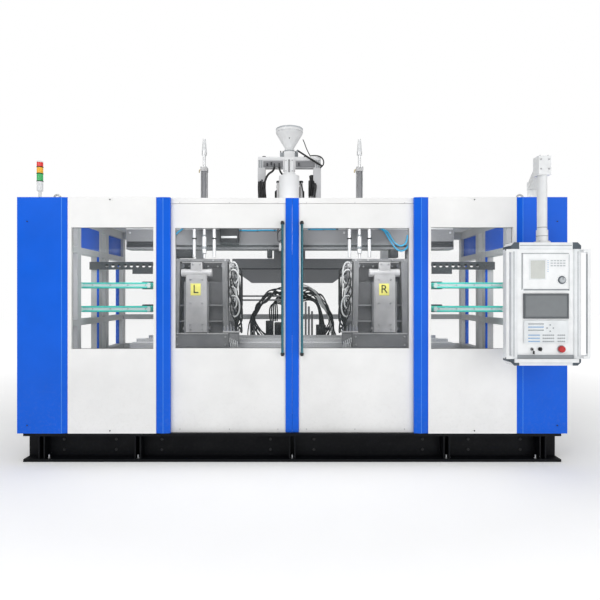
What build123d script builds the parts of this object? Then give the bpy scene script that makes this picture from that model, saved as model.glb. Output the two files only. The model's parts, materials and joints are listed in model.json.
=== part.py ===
from build123d import *
from math import atan2, degrees, hypot
import os

# Blow moulding machine with two clamp stations, in millimetres.
# +X runs to the right along the front, +Y from the front to the back, +Z up from the floor.

# Cabinet
CABINET_WIDTH = 4954
CABINET_DEPTH = 2700
HEADROOM = 511
SHEET = 3
PANEL_DEPTH = 40
PANE = 6
POST = 100
POST_WALL = 5

# Base of wide-flange beams
BASE_HEIGHT = 256
BASE_OVERHANG = 55
BEAM_FLANGE = 240
BEAM_FLANGE_THICK = 24
BEAM_WEB = 14
STIFFENER = 12
JOINT_GAP = 0.5
CROSS_BEAM_X = 1394
END_BEAM_INSET = 40

# Front, from the middle outwards
DOOR_EDGE_WIDTH = 57
DOOR_MEETING_GAP = 1
DOORWAY_HALF = 1100
DOOR_POST_WIDTH = 126
CORNER_PANEL_WIDTH = 456
CORNER_CREASE = 56
CREASE_DEPTH = 9
CORNER_RETURN = 150
WINDOW_BOTTOM = 1017
WINDOW_TOP_BAND = 272
DOOR_STILE = 35
OUTER_STILE_INNER = 24
OUTER_STILE_OUTER = 32
LOCK_RADIUS = 9
LOCK_DEPTH = 6
LOCK_INSET = 20

# Sliding doors
DOOR_GAP = 5
DOOR_OVERLAP = 50
DOOR_BOTTOM_GAP = 6
DOOR_TOP_GAP = 3
CHANNEL_HEIGHT = 50
CHANNEL_WALL = 4
CHANNEL_CLEARANCE = 2
GUIDE_HEIGHT = 16
TRUCK_LENGTH = 90
TRUCK_HEIGHT = 20
TRUCK_INSET = 160
TRUCK_CLEARANCE = 0.3
HANGER_WIDTH = 10
HANGER_CLEARANCE = 2
HANDLE_X = 88
HANDLE_BOTTOM = 954
HANDLE_LENGTH = 1215
HANDLE_RADIUS = 12
HANDLE_STAND = 45

# End walls, as distances behind the front face
END_POSTS = (1060, 1700, 1930)
END_RAIL_LOW = 1163
END_TOP_BAND = 417
END_RAIL_HEIGHT = 68
SILL_HEIGHT = 60
REAR_POST_X = 1300
SKIRT_RAIL = 754

# Bed and rails
BED_HEIGHT = 744
BED_BEAM_HEIGHT = 220
BED_BEAM_WIDTH = 150
BED_HALF_LENGTH = 1700
FRONT_RAIL_Y = -510
REAR_RAIL_Y = -40
RAIL_WIDTH = 45
RAIL_HEIGHT = 40
RAIL_INSET = 50

# Clamp stations
CLAMP_CENTRES = {"left": -936, "right": 902}
CLAMP_WIDTH = 570
CLAMP_HEIGHT = 908
CLAMP_FRONT = -700
CLAMP_THICK = 110
COLUMN_WIDTH = 55
COLUMN_SPLAY = 14
TOP_PLATE = 28
BOTTOM_BLOCK = 147
CARRIAGE_PLATE = 30
CARRIAGE_LIFT = 16
FOOT_DROP = 120
RUNNER_LENGTH = 140
RUNNER_WIDTH = 96
RUNNER_CLEARANCE = 0.5
CLAMP_REAR = 150
YOKE_THICK = 90
TIE_BAR_RADIUS = 26
TIE_BAR_X = 218
TIE_BAR_INSET = 62
TIE_BAR_DROP = 38
RUNNING_CLEARANCE = 0.08
PARTING_Y = -300
PLATEN_THICK = 60
PLATEN_OPEN = 180
PLATEN_MARGIN = 8
CYLINDER_RADIUS = 70
CYLINDER_LENGTH = 200
CLAMP_ROD_RADIUS = 28
LEVER_WIDTH = 216
LEVER_OFFSET = 48
LEVER_DEPTH = 70
LEVER_PIVOT_RISE = 43
LEVER_FOOT_GAP = 8
LEVER_PIN_RADIUS = 22
LEVER_HEAD = 156
CLEVIS_WIDTH = 315
CLEVIS_HEIGHT = 84
NECK_WIDTH = 120
LEVER_CLEARANCE = 3
CLEVIS_WALL = 12
RIB_THICK = 14
RIB_BELOW_CLEVIS = 50
SHELF_RISES = (113, 277)
MOULD_HOLE_RADIUS = 9
MOULD_HOLE_X = 120
MOULD_HOLE_Z = 140
CYLINDER_CAP = 30
MANIFOLD_WIDTH = 58
MANIFOLD_SETBACK = 10
MANIFOLD_RISE = 125
FITTING_COUNT = 4
FITTING_START = 80
FITTING_PITCH = 140
FITTING_RADIUS = 20
FITTING_REACH = 26
FITTING_NUT = 34
HOSE_RADIUS = 9
HOSE_REACH = 70
HOSE_BEND = 44
HOSE_SPACING = 40
HOSE_INSET = 60

# Blow stations
BLOW_CENTRES = {"left": -970, "right": 742}
BLOW_ROD_X = 110
BLOW_ROD_RADIUS = 18
BLOW_PLATE = 30
BLOW_PLATE_HALF = 140
BLOW_CYLINDER_RADIUS = 34
BLOW_CYLINDER_LENGTH = 588
BLOW_ROD_RISE = 318
BLOW_COLLAR_RISE = 164
BLOW_COLLAR_HEIGHT = 44
BLOW_PIN_LENGTH = 322
BLOW_PIN_BODY = 238
BLOW_ROD_DROP = 311
BLOW_PISTON_RADIUS = 16
BLOW_PLATE_GAP = 5
BLOW_BRACKET_HEIGHT = 50
BLOW_BRACKET_END = 24
BLOW_BRACKET_DEPTH = 60
BLOW_CAP = 40
BLOW_CAP_RIM = 3
BLOW_BUSH_WALL = 9
BLOW_BUSH_HEIGHT = 90
BLOW_COLLAR_WALL = 12
BLOW_GUIDE_RISE = 200
BLOW_PIN_RADIUS = 24
BLOW_NOSE = 44
BLOW_NOSE_TAPER = 14
BLOW_NOSE_RADIUS = 13

# Carrier beam above the clamps
CARRIER_LEFT = -1913
CARRIER_RIGHT = 1861
CARRIER_HEIGHT = 231
CARRIER_FRONT = -50
CARRIER_DEPTH = 200
CARRIER_FLANGE = 24
CARRIER_COLUMN = 100

# Extruder and its platform
EXTRUDER_X = -34
EXTRUDER_RISE = 280
PLATFORM_Y = 650
PLATFORM_DEPTH = 100
PLATFORM_HALF = 766
PLATFORM_DROP = 87
PLATFORM_HEIGHT = 129
TRUSS_HEIGHT = 180
TRUSS_HALF = 520
PLATFORM_COLUMN = 240
DECK_RISE = 15
DECK_THICK = 20
DECK_OVERHANG = 10
DECK_HALF = 430
BARREL_RADIUS = 78
HEATER_RADIUS = 104
HEATER_LENGTH = 120
HEATER_GAP = 10
HEATER_START = 50
SCREW_RADIUS = 45
SCREW_ROOT_RADIUS = 31
SCREW_TIP = 40
FLIGHT = 12
BARREL_FRONT = -170
FEED_Y = 350
FEED_BLOCK = 230
FEED_RISE = 131
GEARBOX_FRONT = 620
GEARBOX_LENGTH = 300
MOTOR_RADIUS = 150
MOTOR_LENGTH = 300
MOTOR_DROP = 60
DRIVE_HALF = 190
DRIVE_CHAMFER = 60
HEAD_RADIUS = 112
HEAD_NECK_RADIUS = 84
DIE_DROP = 750
DIE_LIP = 40
DIE_LIP_RADIUS = 50
DIE_RING = 80
HEAD_CAP = 30
HEAD_CAP_RADIUS = 70
PARISON_CYLINDER = 160
PARISON_RADIUS = 44
MELT_CHANNEL_RADIUS = 27
HOPPER_RIM = 53
HOPPER_RADIUS = 165
HOPPER_CONE = 203
HOPPER_WALL = 4
HOPPER_MOUTH = 40
HOPPER_FLANGE = 36
HOPPER_FLANGE_RADIUS = 62
FEEDER_WIDTH = 130
FEEDER_HEIGHT = 345
FEED_FLANGE = 74
BRIDGE_HALF = 378
BRIDGE_LEG_HEIGHT = 610
BRIDGE_HEIGHT = 130
BRIDGE_LEG = 90

# Conveyors
CONVEYOR_RISES = (78, 347)
CONVEYOR_HEIGHT = 68
CONVEYOR_WIDTH = 200
CONVEYOR_LENGTH = 836
CONVEYOR_INSET = 37
CONVEYOR_STAND = 40
CONVEYOR_SIDE = 8
BELT = 4
BELT_CLEARANCE = 0.2

# Perforated cable trays
TRAY_STAND = 50
TRAY_INNER_X = 1700
TRAY_DROP = 60
TRAY_HEIGHT = 94
TRAY_HOLE_RADIUS = 20
TRAY_HOLE_PITCH = 75
TRAY_DEEP_LENGTH = 250
TRAY_DEEP_DROP = 54
TRAY_LIP = 30

# Pendant control panel
ARM_SETBACK = 567
HANGER_INSET = 359
HANGER_FORWARD = 270
ARM_RISE = 177
ARM_HEIGHT = 80
ARM_WIDTH = 76
ELBOW = 104
ELBOW_DROP = 50
ELBOW_RISE = 30
HANGER_RADIUS = 40
HANGER_LENGTH = 460
JOURNAL_RADIUS = 26
ARM_COLUMN_RADIUS = 46
ARM_FOOT = 14
ARM_FOOT_RIM = 3
ELBOW_ROOF = 30
JOURNAL_END_GAP = 2
COUPLING_RIM = 7
COUPLING_FLANGE = 12
COUPLING_FLANGE_RADIUS = 66
COUPLING_HEIGHT = 111
PENDANT_WIDTH = 583
PENDANT_OFFSET = 298
PENDANT_HEIGHT = 1025
PENDANT_DEPTH = 160
PENDANT_FRAME = 26
PENDANT_RECESS = 12
PANEL_PROUD = 10
CONTROLLER_INSET = 80
SCREEN_INSET = 90
CONTROLLER_RISES = (644, 924)
SCREEN_RISES = (394, 584)
KEYS_RISES = (194, 359)
LEDGE = 20
LEDGE_HEIGHT = 30
GRIP_INSET = 60
GRIP_REACH = 56
GRIP_WIDTH = 24
GRIP_STAND = 19
STOP_INSET = 160
BUTTON_RISE = 136
STOP_RADIUS = 27
STOP_STEM_RADIUS = 12
STOP_STROKE = 6
STOP_HEAD = 24
STOP_FILLET = 8
STEM_LENGTH = 30
SELECTOR_INSET = 337
SELECTOR_RADIUS = 16
SELECTOR_BODY = 12
SELECTOR_HANDLE = 10

# Signal tower
TOWER_INSET = 109
TOWER_SETBACK = 200
TOWER_RADIUS = 28
TOWER_HEIGHT = 378
TOWER_FOOT = 8
TOWER_FOOT_RIM = 12
TOWER_STEM = 82
TOWER_SEAM_RISES = (184, 256, 317)
TOWER_SEAM = 4
TOWER_SEAM_RIM = 3

# Values worked out from the sizes above
HALF = CABINET_WIDTH / 2
BED_TOP = BASE_HEIGHT + BED_HEIGHT
RAIL_TOP = BED_TOP + RAIL_HEIGHT
CARRIAGE_BOTTOM = RAIL_TOP + CARRIAGE_LIFT
CARRIAGE_TOP = CARRIAGE_BOTTOM + CARRIAGE_PLATE
CLAMP_BOTTOM = CARRIAGE_TOP - FOOT_DROP
CLAMP_TOP = CLAMP_BOTTOM + CLAMP_HEIGHT
CABINET_TOP = CLAMP_TOP + HEADROOM
WINDOW_TOP = CABINET_TOP - WINDOW_TOP_BAND
HANDLE_TOP = HANDLE_BOTTOM + HANDLE_LENGTH
END_RAIL_HIGH = CABINET_TOP - END_TOP_BAND
FRONT = -CABINET_DEPTH / 2
REAR = CABINET_DEPTH / 2
PANEL_BACK = FRONT + PANEL_DEPTH
DOOR_FRONT = PANEL_BACK + DOOR_GAP
DOOR_BACK = DOOR_FRONT + PANEL_DEPTH
CHANNEL_FRONT = PANEL_BACK
CHANNEL_BACK = DOOR_BACK + CHANNEL_CLEARANCE + CHANNEL_WALL
CHANNEL_BOTTOM = CABINET_TOP - CHANNEL_HEIGHT
DOOR_TOP = CHANNEL_BOTTOM - DOOR_TOP_GAP
DOOR_BOTTOM = BASE_HEIGHT + CHANNEL_WALL + DOOR_BOTTOM_GAP
DOOR_MIDDLE = (DOOR_FRONT + DOOR_BACK) / 2
POST_OUTER = HALF - SHEET
POST_INNER = POST_OUTER - POST
CORNER_PANEL_X = HALF - CORNER_PANEL_WIDTH
DOOR_POST_OUTER = DOORWAY_HALF + DOOR_POST_WIDTH
REAR_INNER = REAR - SHEET - POST
TOP_RAIL_BOTTOM = CABINET_TOP - POST
CARRIER_TOP = TOP_RAIL_BOTTOM
CARRIER_BOTTOM = CARRIER_TOP - CARRIER_HEIGHT
PLATFORM_TOP = CARRIER_BOTTOM - PLATFORM_DROP
PLATFORM_BOTTOM = PLATFORM_TOP - PLATFORM_HEIGHT
TRUSS_BOTTOM = PLATFORM_BOTTOM - TRUSS_HEIGHT
BLOW_BRACKET_Z = CARRIER_TOP - BLOW_PLATE_GAP - BLOW_BRACKET_HEIGHT
BLOW_PIN_TIP = BLOW_BRACKET_Z - BLOW_PIN_LENGTH
BLOW_CYLINDER_TOP = CARRIER_TOP + BLOW_PLATE + BLOW_CYLINDER_LENGTH
BLOW_COLLAR_Z = BLOW_CYLINDER_TOP + BLOW_COLLAR_RISE
BLOW_ROD_TOP = BLOW_CYLINDER_TOP + BLOW_ROD_RISE
SILL_TOP = BASE_HEIGHT + SILL_HEIGHT
SKIRT_TOP = SKIRT_RAIL + END_RAIL_HEIGHT
CLAMP_BACK = CLAMP_FRONT + CLAMP_THICK
YOKE_FRONT = CLAMP_REAR - YOKE_THICK
COLUMN_TOP = CLAMP_TOP - TOP_PLATE
BLOCK_TOP = CLAMP_BOTTOM + BOTTOM_BLOCK
TIE_BAR_Z = (BLOCK_TOP + TIE_BAR_INSET, COLUMN_TOP - TIE_BAR_DROP)
LEVER_PIVOT_Z = BLOCK_TOP + LEVER_PIVOT_RISE
LEVER_COLUMN_TOP = COLUMN_TOP - LEVER_HEAD
MANIFOLD_BOTTOM = BLOCK_TOP + MANIFOLD_RISE
DECK_Z = CABINET_TOP + DECK_RISE
DECK_TOP = DECK_Z + DECK_THICK
EXTRUDER_Z = DECK_TOP + EXTRUDER_RISE
DIE_BOTTOM = EXTRUDER_Z - DIE_DROP
FEED_TOP = EXTRUDER_Z + FEED_RISE
FEEDER_BOTTOM = FEED_TOP + FEED_FLANGE
FEEDER_TOP = FEEDER_BOTTOM + FEEDER_HEIGHT
HOPPER_CONE_BOTTOM = FEEDER_TOP + HOPPER_FLANGE
HOPPER_TOP = HOPPER_CONE_BOTTOM + HOPPER_CONE + HOPPER_RIM
BRIDGE_BOTTOM = DECK_TOP + BRIDGE_LEG_HEIGHT
BRIDGE_TOP = BRIDGE_BOTTOM + BRIDGE_HEIGHT
DECK_REAR = REAR - SHEET - POST / 2
ARM_JOINT = (POST_INNER + POST / 2, FRONT + ARM_SETBACK)
ARM_BOTTOM = CABINET_TOP + ARM_RISE
ARM_TOP = ARM_BOTTOM + ARM_HEIGHT
HANGER_AXIS = (HALF - HANGER_INSET, FRONT - HANGER_FORWARD)
ELBOW_BOTTOM = ARM_BOTTOM - ELBOW_DROP
ELBOW_TOP = ARM_TOP + ELBOW_RISE
HANGER_COUPLING_TOP = ELBOW_BOTTOM - HANGER_LENGTH
PENDANT_TOP = HANGER_COUPLING_TOP - COUPLING_HEIGHT
PENDANT_BOTTOM = PENDANT_TOP - PENDANT_HEIGHT
PENDANT_LEFT = HANGER_AXIS[0] - PENDANT_OFFSET
PENDANT_RIGHT = PENDANT_LEFT + PENDANT_WIDTH
PENDANT_BACK = HANGER_AXIS[1] + PENDANT_DEPTH / 2
PENDANT_FRONT = HANGER_AXIS[1] - PENDANT_DEPTH / 2
PENDANT_FACE = PENDANT_FRONT + PENDANT_RECESS
CONTROLLER_Z = [PENDANT_BOTTOM + rise for rise in CONTROLLER_RISES]
SCREEN_Z = [PENDANT_BOTTOM + rise for rise in SCREEN_RISES]
KEYS_Z = [PENDANT_BOTTOM + rise for rise in KEYS_RISES]
BUTTON_Z = PENDANT_BOTTOM + BUTTON_RISE
STOP_X = PENDANT_RIGHT - STOP_INSET
SELECTOR_X = PENDANT_RIGHT - SELECTOR_INSET
TOWER_X = TOWER_INSET - HALF
TOWER_Y = FRONT + TOWER_SETBACK
TOWER_TOP = CABINET_TOP + TOWER_HEIGHT

os.makedirs("parts", exist_ok=True)


def keep(piece, name):
    """Labels a finished piece and writes its file."""
    piece.part.label = name
    export_step(piece.part, f"parts/{name}.step")


def block(x, y, z, mode=Mode.ADD):
    """A box between two values along each axis, in either order."""
    middle = [(low + high) / 2 for low, high in (x, y, z)]
    size = [abs(high - low) for low, high in (x, y, z)]
    with Locations(tuple(middle)):
        Box(*size, mode=mode)


def upright(x, y, z, radius, mode=Mode.ADD):
    """A vertical cylinder between two heights."""
    with Locations((x, y, (z[0] + z[1]) / 2)):
        Cylinder(radius, abs(z[1] - z[0]), mode=mode)


def level(x, y, z, radius, mode=Mode.ADD):
    """A cylinder along Y between two depths."""
    with Locations((x, (y[0] + y[1]) / 2, z)):
        Cylinder(radius, abs(y[1] - y[0]), rotation=(90, 0, 0), mode=mode)


def across(x, y, z, radius, mode=Mode.ADD):
    """A cylinder along X between two places."""
    with Locations(((x[0] + x[1]) / 2, y, z)):
        Cylinder(radius, abs(x[1] - x[0]), rotation=(0, 90, 0), mode=mode)


def tube(x, y, z, along):
    """A hollow square section along one axis, with open ends."""
    block(x, y, z)
    inner = [[low + POST_WALL, high - POST_WALL] for low, high in (x, y, z)]
    inner[along] = (x, y, z)[along]
    block(*inner, mode=Mode.SUBTRACT)


def pan(x, z, front, window=None):
    """A folded sheet panel with returned edges, open at its back, and its window."""
    back = front + PANEL_DEPTH
    low, high = sorted(x)
    block((low, high), (front, back), z)
    hollow = (low + SHEET, high - SHEET), (front + SHEET, back), (z[0] + SHEET, z[1] - SHEET)
    block(*hollow, mode=Mode.SUBTRACT)
    if window:
        wide, tall = (sorted(window[0]), window[1])
        rim = (wide[0] - SHEET, wide[1] + SHEET), (front, back), (tall[0] - SHEET, tall[1] + SHEET)
        block(*rim)
        block(wide, (front, back), tall, mode=Mode.SUBTRACT)


def folded(points, z):
    """Sheet folded along the points of a plan view, between two heights."""
    with BuildSketch(Plane.XY.offset(z[0]), mode=Mode.PRIVATE) as plan:
        with BuildLine() as bend:
            Polyline(*points)
            offset(bend.line, SHEET, side=Side.LEFT)
        make_face()
    extrude(plan.sketch, z[1] - z[0])


# Base: wide-flange beams under the front, the back, the ends and the stations
def beam_section(length, plane):
    """A wide-flange beam that starts at a plane, with its foot on the floor."""
    with BuildSketch(plane, mode=Mode.PRIVATE) as section:
        with Locations((0, BASE_HEIGHT / 2)):
            Rectangle(BEAM_FLANGE, BASE_HEIGHT)
            Rectangle(BEAM_FLANGE, BASE_HEIGHT - 2 * BEAM_FLANGE_THICK, mode=Mode.SUBTRACT)
            Rectangle(BEAM_WEB, BASE_HEIGHT)
    extrude(section.sketch, length)


BASE_HALF = HALF - BASE_OVERHANG
CROSS_HALF = REAR - BEAM_FLANGE - JOINT_GAP
END_BEAM_X = BASE_HALF - END_BEAM_INSET - BEAM_FLANGE / 2
STIFFENER_X = (0, -CROSS_BEAM_X, CROSS_BEAM_X, -END_BEAM_X, END_BEAM_X)

with BuildPart() as base_beams:
    for middle in (FRONT + BEAM_FLANGE / 2, REAR - BEAM_FLANGE / 2):
        beam_section(2 * BASE_HALF, Plane((-BASE_HALF, middle, 0), (0, 1, 0), (1, 0, 0)))
        for place in STIFFENER_X:
            for side in (-1, 1):
                inner = place + side * 2 * STIFFENER
                block(
                    (inner - STIFFENER / 2, inner + STIFFENER / 2),
                    (middle - BEAM_FLANGE / 2 + STIFFENER, middle + BEAM_FLANGE / 2 - STIFFENER),
                    (BEAM_FLANGE_THICK, BASE_HEIGHT - BEAM_FLANGE_THICK),
                )
    for place in (0, -CROSS_BEAM_X, CROSS_BEAM_X, -END_BEAM_X, END_BEAM_X):
        beam_section(2 * CROSS_HALF, Plane((place, CROSS_HALF, 0), (1, 0, 0), (0, -1, 0)))
keep(base_beams, "base_beams")

# Corner panels: blue sheet round each front corner, creased near its inner edge
with BuildPart() as corner_panels:
    for side in (-1, 1):
        outline = [
            (side * CORNER_PANEL_X, PANEL_BACK),
            (side * CORNER_PANEL_X, FRONT + CREASE_DEPTH),
            (side * (CORNER_PANEL_X + CORNER_CREASE), FRONT),
            (side * HALF, FRONT),
            (side * HALF, FRONT + CORNER_RETURN),
        ]
        folded(outline if side > 0 else outline[::-1], (BASE_HEIGHT, CABINET_TOP))
keep(corner_panels, "corner_panels")

# Outer front panels: white, each with a window and two flush locks
OUTER_WINDOW = (DOOR_POST_OUTER + OUTER_STILE_INNER, CORNER_PANEL_X - OUTER_STILE_OUTER)
OUTER_MIDDLE = (DOOR_POST_OUTER + CORNER_PANEL_X) / 2

with BuildPart() as front_panels:
    for side in (-1, 1):
        pan(
            (side * DOOR_POST_OUTER, side * CORNER_PANEL_X),
            (BASE_HEIGHT, CABINET_TOP),
            FRONT,
            ((side * OUTER_WINDOW[0], side * OUTER_WINDOW[1]), (WINDOW_BOTTOM, WINDOW_TOP)),
        )
        for height in (BASE_HEIGHT + LOCK_INSET, CABINET_TOP - LOCK_INSET):
            level(side * OUTER_MIDDLE, (FRONT - LOCK_DEPTH, FRONT + SHEET), height, LOCK_RADIUS)
keep(front_panels, "front_panels")

# Door posts: blue sheet with a raised crease down the middle
with BuildPart() as door_posts:
    for side in (-1, 1):
        outline = [
            (side * DOORWAY_HALF, PANEL_BACK),
            (side * DOORWAY_HALF, FRONT + CREASE_DEPTH),
            (side * (DOORWAY_HALF + DOOR_POST_WIDTH / 2), FRONT),
            (side * DOOR_POST_OUTER, FRONT + CREASE_DEPTH),
            (side * DOOR_POST_OUTER, PANEL_BACK),
        ]
        folded(outline if side > 0 else outline[::-1], (BASE_HEIGHT, CABINET_TOP))
keep(door_posts, "door_posts")

# Cabinet posts: square tube at the corners and along the end and rear walls
SIDE_POST_Y = [FRONT + SHEET] + [FRONT + depth for depth in END_POSTS] + [REAR_INNER]

with BuildPart() as cabinet_posts:
    for side in (-1, 1):
        for depth in SIDE_POST_Y:
            x = sorted((side * POST_INNER, side * POST_OUTER))
            tube(x, (depth, depth + POST), (BASE_HEIGHT, TOP_RAIL_BOTTOM), along=2)
        x = (side * REAR_POST_X - POST / 2, side * REAR_POST_X + POST / 2)
        tube(x, (REAR_INNER, REAR_INNER + POST), (BASE_HEIGHT, TOP_RAIL_BOTTOM), along=2)
keep(cabinet_posts, "cabinet_posts")

# Cabinet rails: between the posts, and the ring and cross rails of the roof
SIDE_BAYS = [(low + POST, high) for low, high in zip(SIDE_POST_Y, SIDE_POST_Y[1:])]
REAR_BAYS = [
    (-POST_INNER, -REAR_POST_X - POST / 2),
    (-REAR_POST_X + POST / 2, REAR_POST_X - POST / 2),
    (REAR_POST_X + POST / 2, POST_INNER),
]

RING_Y = (CHANNEL_BACK, REAR_INNER - JOINT_GAP)

with BuildPart() as cabinet_rails:
    for side in (-1, 1):
        x = sorted((side * POST_INNER, side * POST_OUTER))
        tube(x, RING_Y, (TOP_RAIL_BOTTOM, CABINET_TOP), along=1)
        for bay in SIDE_BAYS:
            tube(x, bay, (BASE_HEIGHT, SILL_TOP), along=1)
            tube(x, bay, (SKIRT_RAIL, SKIRT_TOP), along=1)
            tube(x, bay, (END_RAIL_LOW, END_RAIL_LOW + END_RAIL_HEIGHT), along=1)
            tube(x, bay, (END_RAIL_HIGH, END_RAIL_HIGH + END_RAIL_HEIGHT), along=1)
        x = (side * REAR_POST_X - POST / 2, side * REAR_POST_X + POST / 2)
        tube(x, RING_Y, (TOP_RAIL_BOTTOM, CABINET_TOP), along=1)
    deep = (REAR_INNER, REAR_INNER + POST)
    tube((-POST_OUTER, POST_OUTER), deep, (TOP_RAIL_BOTTOM, CABINET_TOP), along=0)
    for bay in REAR_BAYS:
        tube(bay, deep, (BASE_HEIGHT, SILL_TOP), along=0)
        tube(bay, deep, (SKIRT_RAIL, SKIRT_TOP), along=0)
        tube(bay, deep, (END_RAIL_LOW, END_RAIL_LOW + END_RAIL_HEIGHT), along=0)
keep(cabinet_rails, "cabinet_rails")

# Fixed clear panes: behind the front windows, in the end walls and along the rear
FRONT_PANE_Y = (FRONT + PANEL_DEPTH - PANE, PANEL_BACK)
END_PANE_X = (POST_INNER + POST / 2 - PANE / 2, POST_INNER + POST / 2 + PANE / 2)
REAR_PANE_Y = (REAR_INNER + POST / 2 - PANE / 2, REAR_INNER + POST / 2 + PANE / 2)
LOWER_BAND = (SKIRT_TOP, END_RAIL_LOW)
MIDDLE_BAND = (END_RAIL_LOW + END_RAIL_HEIGHT, END_RAIL_HIGH)
UPPER_BAND = (END_RAIL_HIGH + END_RAIL_HEIGHT, TOP_RAIL_BOTTOM)
DELIVERY_BAY = 1

with BuildPart() as wall_panes:
    for side in (-1, 1):
        window = (side * OUTER_WINDOW[0], side * OUTER_WINDOW[1])
        block(window, FRONT_PANE_Y, (WINDOW_BOTTOM, WINDOW_TOP))
        x = (side * END_PANE_X[0], side * END_PANE_X[1])
        for number, bay in enumerate(SIDE_BAYS):
            block(x, bay, LOWER_BAND)
            if number != DELIVERY_BAY:
                block(x, bay, MIDDLE_BAND)
                block(x, bay, UPPER_BAND)
    for bay in REAR_BAYS:
        block(bay, REAR_PANE_Y, LOWER_BAND)
        block(bay, REAR_PANE_Y, (END_RAIL_LOW + END_RAIL_HEIGHT, TOP_RAIL_BOTTOM))
keep(wall_panes, "wall_panes")

# End panels: blue, above the delivery opening of each end wall
with BuildPart() as end_panels:
    for side in (-1, 1):
        x = (side * POST_INNER, side * (POST_INNER + PANEL_DEPTH))
        low, high = UPPER_BAND
        block(x, SIDE_BAYS[DELIVERY_BAY], UPPER_BAND)
        hollow = (side * (POST_INNER + SHEET), side * (POST_INNER + PANEL_DEPTH))
        bay = (SIDE_BAYS[DELIVERY_BAY][0] + SHEET, SIDE_BAYS[DELIVERY_BAY][1] - SHEET)
        block(hollow, bay, (low + SHEET, high - SHEET), mode=Mode.SUBTRACT)
keep(end_panels, "end_panels")

# Wall panels: a white skirt round the ends and the rear, and white sheet on the roof
ROOF_Y = (CHANNEL_BACK, REAR_INNER)

with BuildPart() as wall_panels:
    for side in (-1, 1):
        x = (side * END_PANE_X[0], side * END_PANE_X[1])
        for bay in SIDE_BAYS:
            block(x, bay, (SILL_TOP, SKIRT_RAIL))
        x = (side * (REAR_POST_X + POST / 2), side * POST_INNER)
        block(x, ROOF_Y, (CABINET_TOP - SHEET, CABINET_TOP))
    for bay in REAR_BAYS:
        block(bay, REAR_PANE_Y, (SILL_TOP, SKIRT_RAIL))
keep(wall_panels, "wall_panels")

# Door channels: the doors hang in the upper one and are guided by the lower one
INSIDE = (CHANNEL_FRONT + CHANNEL_WALL, CHANNEL_BACK - CHANNEL_WALL)
SLOT = HANGER_WIDTH / 2 + HANGER_CLEARANCE

with BuildPart() as door_channels:
    x = (-POST_INNER, POST_INNER)
    block(x, (CHANNEL_FRONT, CHANNEL_BACK), (CHANNEL_BOTTOM, CABINET_TOP))
    cavity = (CHANNEL_BOTTOM + CHANNEL_WALL, CABINET_TOP - CHANNEL_WALL)
    block(x, INSIDE, cavity, mode=Mode.SUBTRACT)
    slot = (DOOR_MIDDLE - SLOT, DOOR_MIDDLE + SLOT)
    block(x, slot, (CHANNEL_BOTTOM, cavity[0]), mode=Mode.SUBTRACT)
    block(x, (CHANNEL_FRONT, CHANNEL_BACK), (BASE_HEIGHT, BASE_HEIGHT + GUIDE_HEIGHT))
    trough = (BASE_HEIGHT + CHANNEL_WALL, BASE_HEIGHT + GUIDE_HEIGHT)
    guide = (DOOR_FRONT - CHANNEL_CLEARANCE, DOOR_BACK + CHANNEL_CLEARANCE)
    block(x, guide, trough, mode=Mode.SUBTRACT)
keep(door_channels, "door_channels")

# Sliding doors: white panels with windows, hung on two trucks each
DOOR_INNER = DOOR_MEETING_GAP / 2 + DOOR_EDGE_WIDTH
DOOR_OUTER = DOORWAY_HALF + DOOR_OVERLAP
DOOR_WINDOW = (DOOR_INNER + DOOR_STILE, DOORWAY_HALF - DOOR_STILE)
TRUCK_BOTTOM = CHANNEL_BOTTOM + CHANNEL_WALL + TRUCK_CLEARANCE
EDGE_BOTTOM = BASE_HEIGHT + GUIDE_HEIGHT + DOOR_TOP_GAP
TRUCK_Y = (INSIDE[0] + CHANNEL_CLEARANCE, INSIDE[1] - CHANNEL_CLEARANCE)

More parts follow.
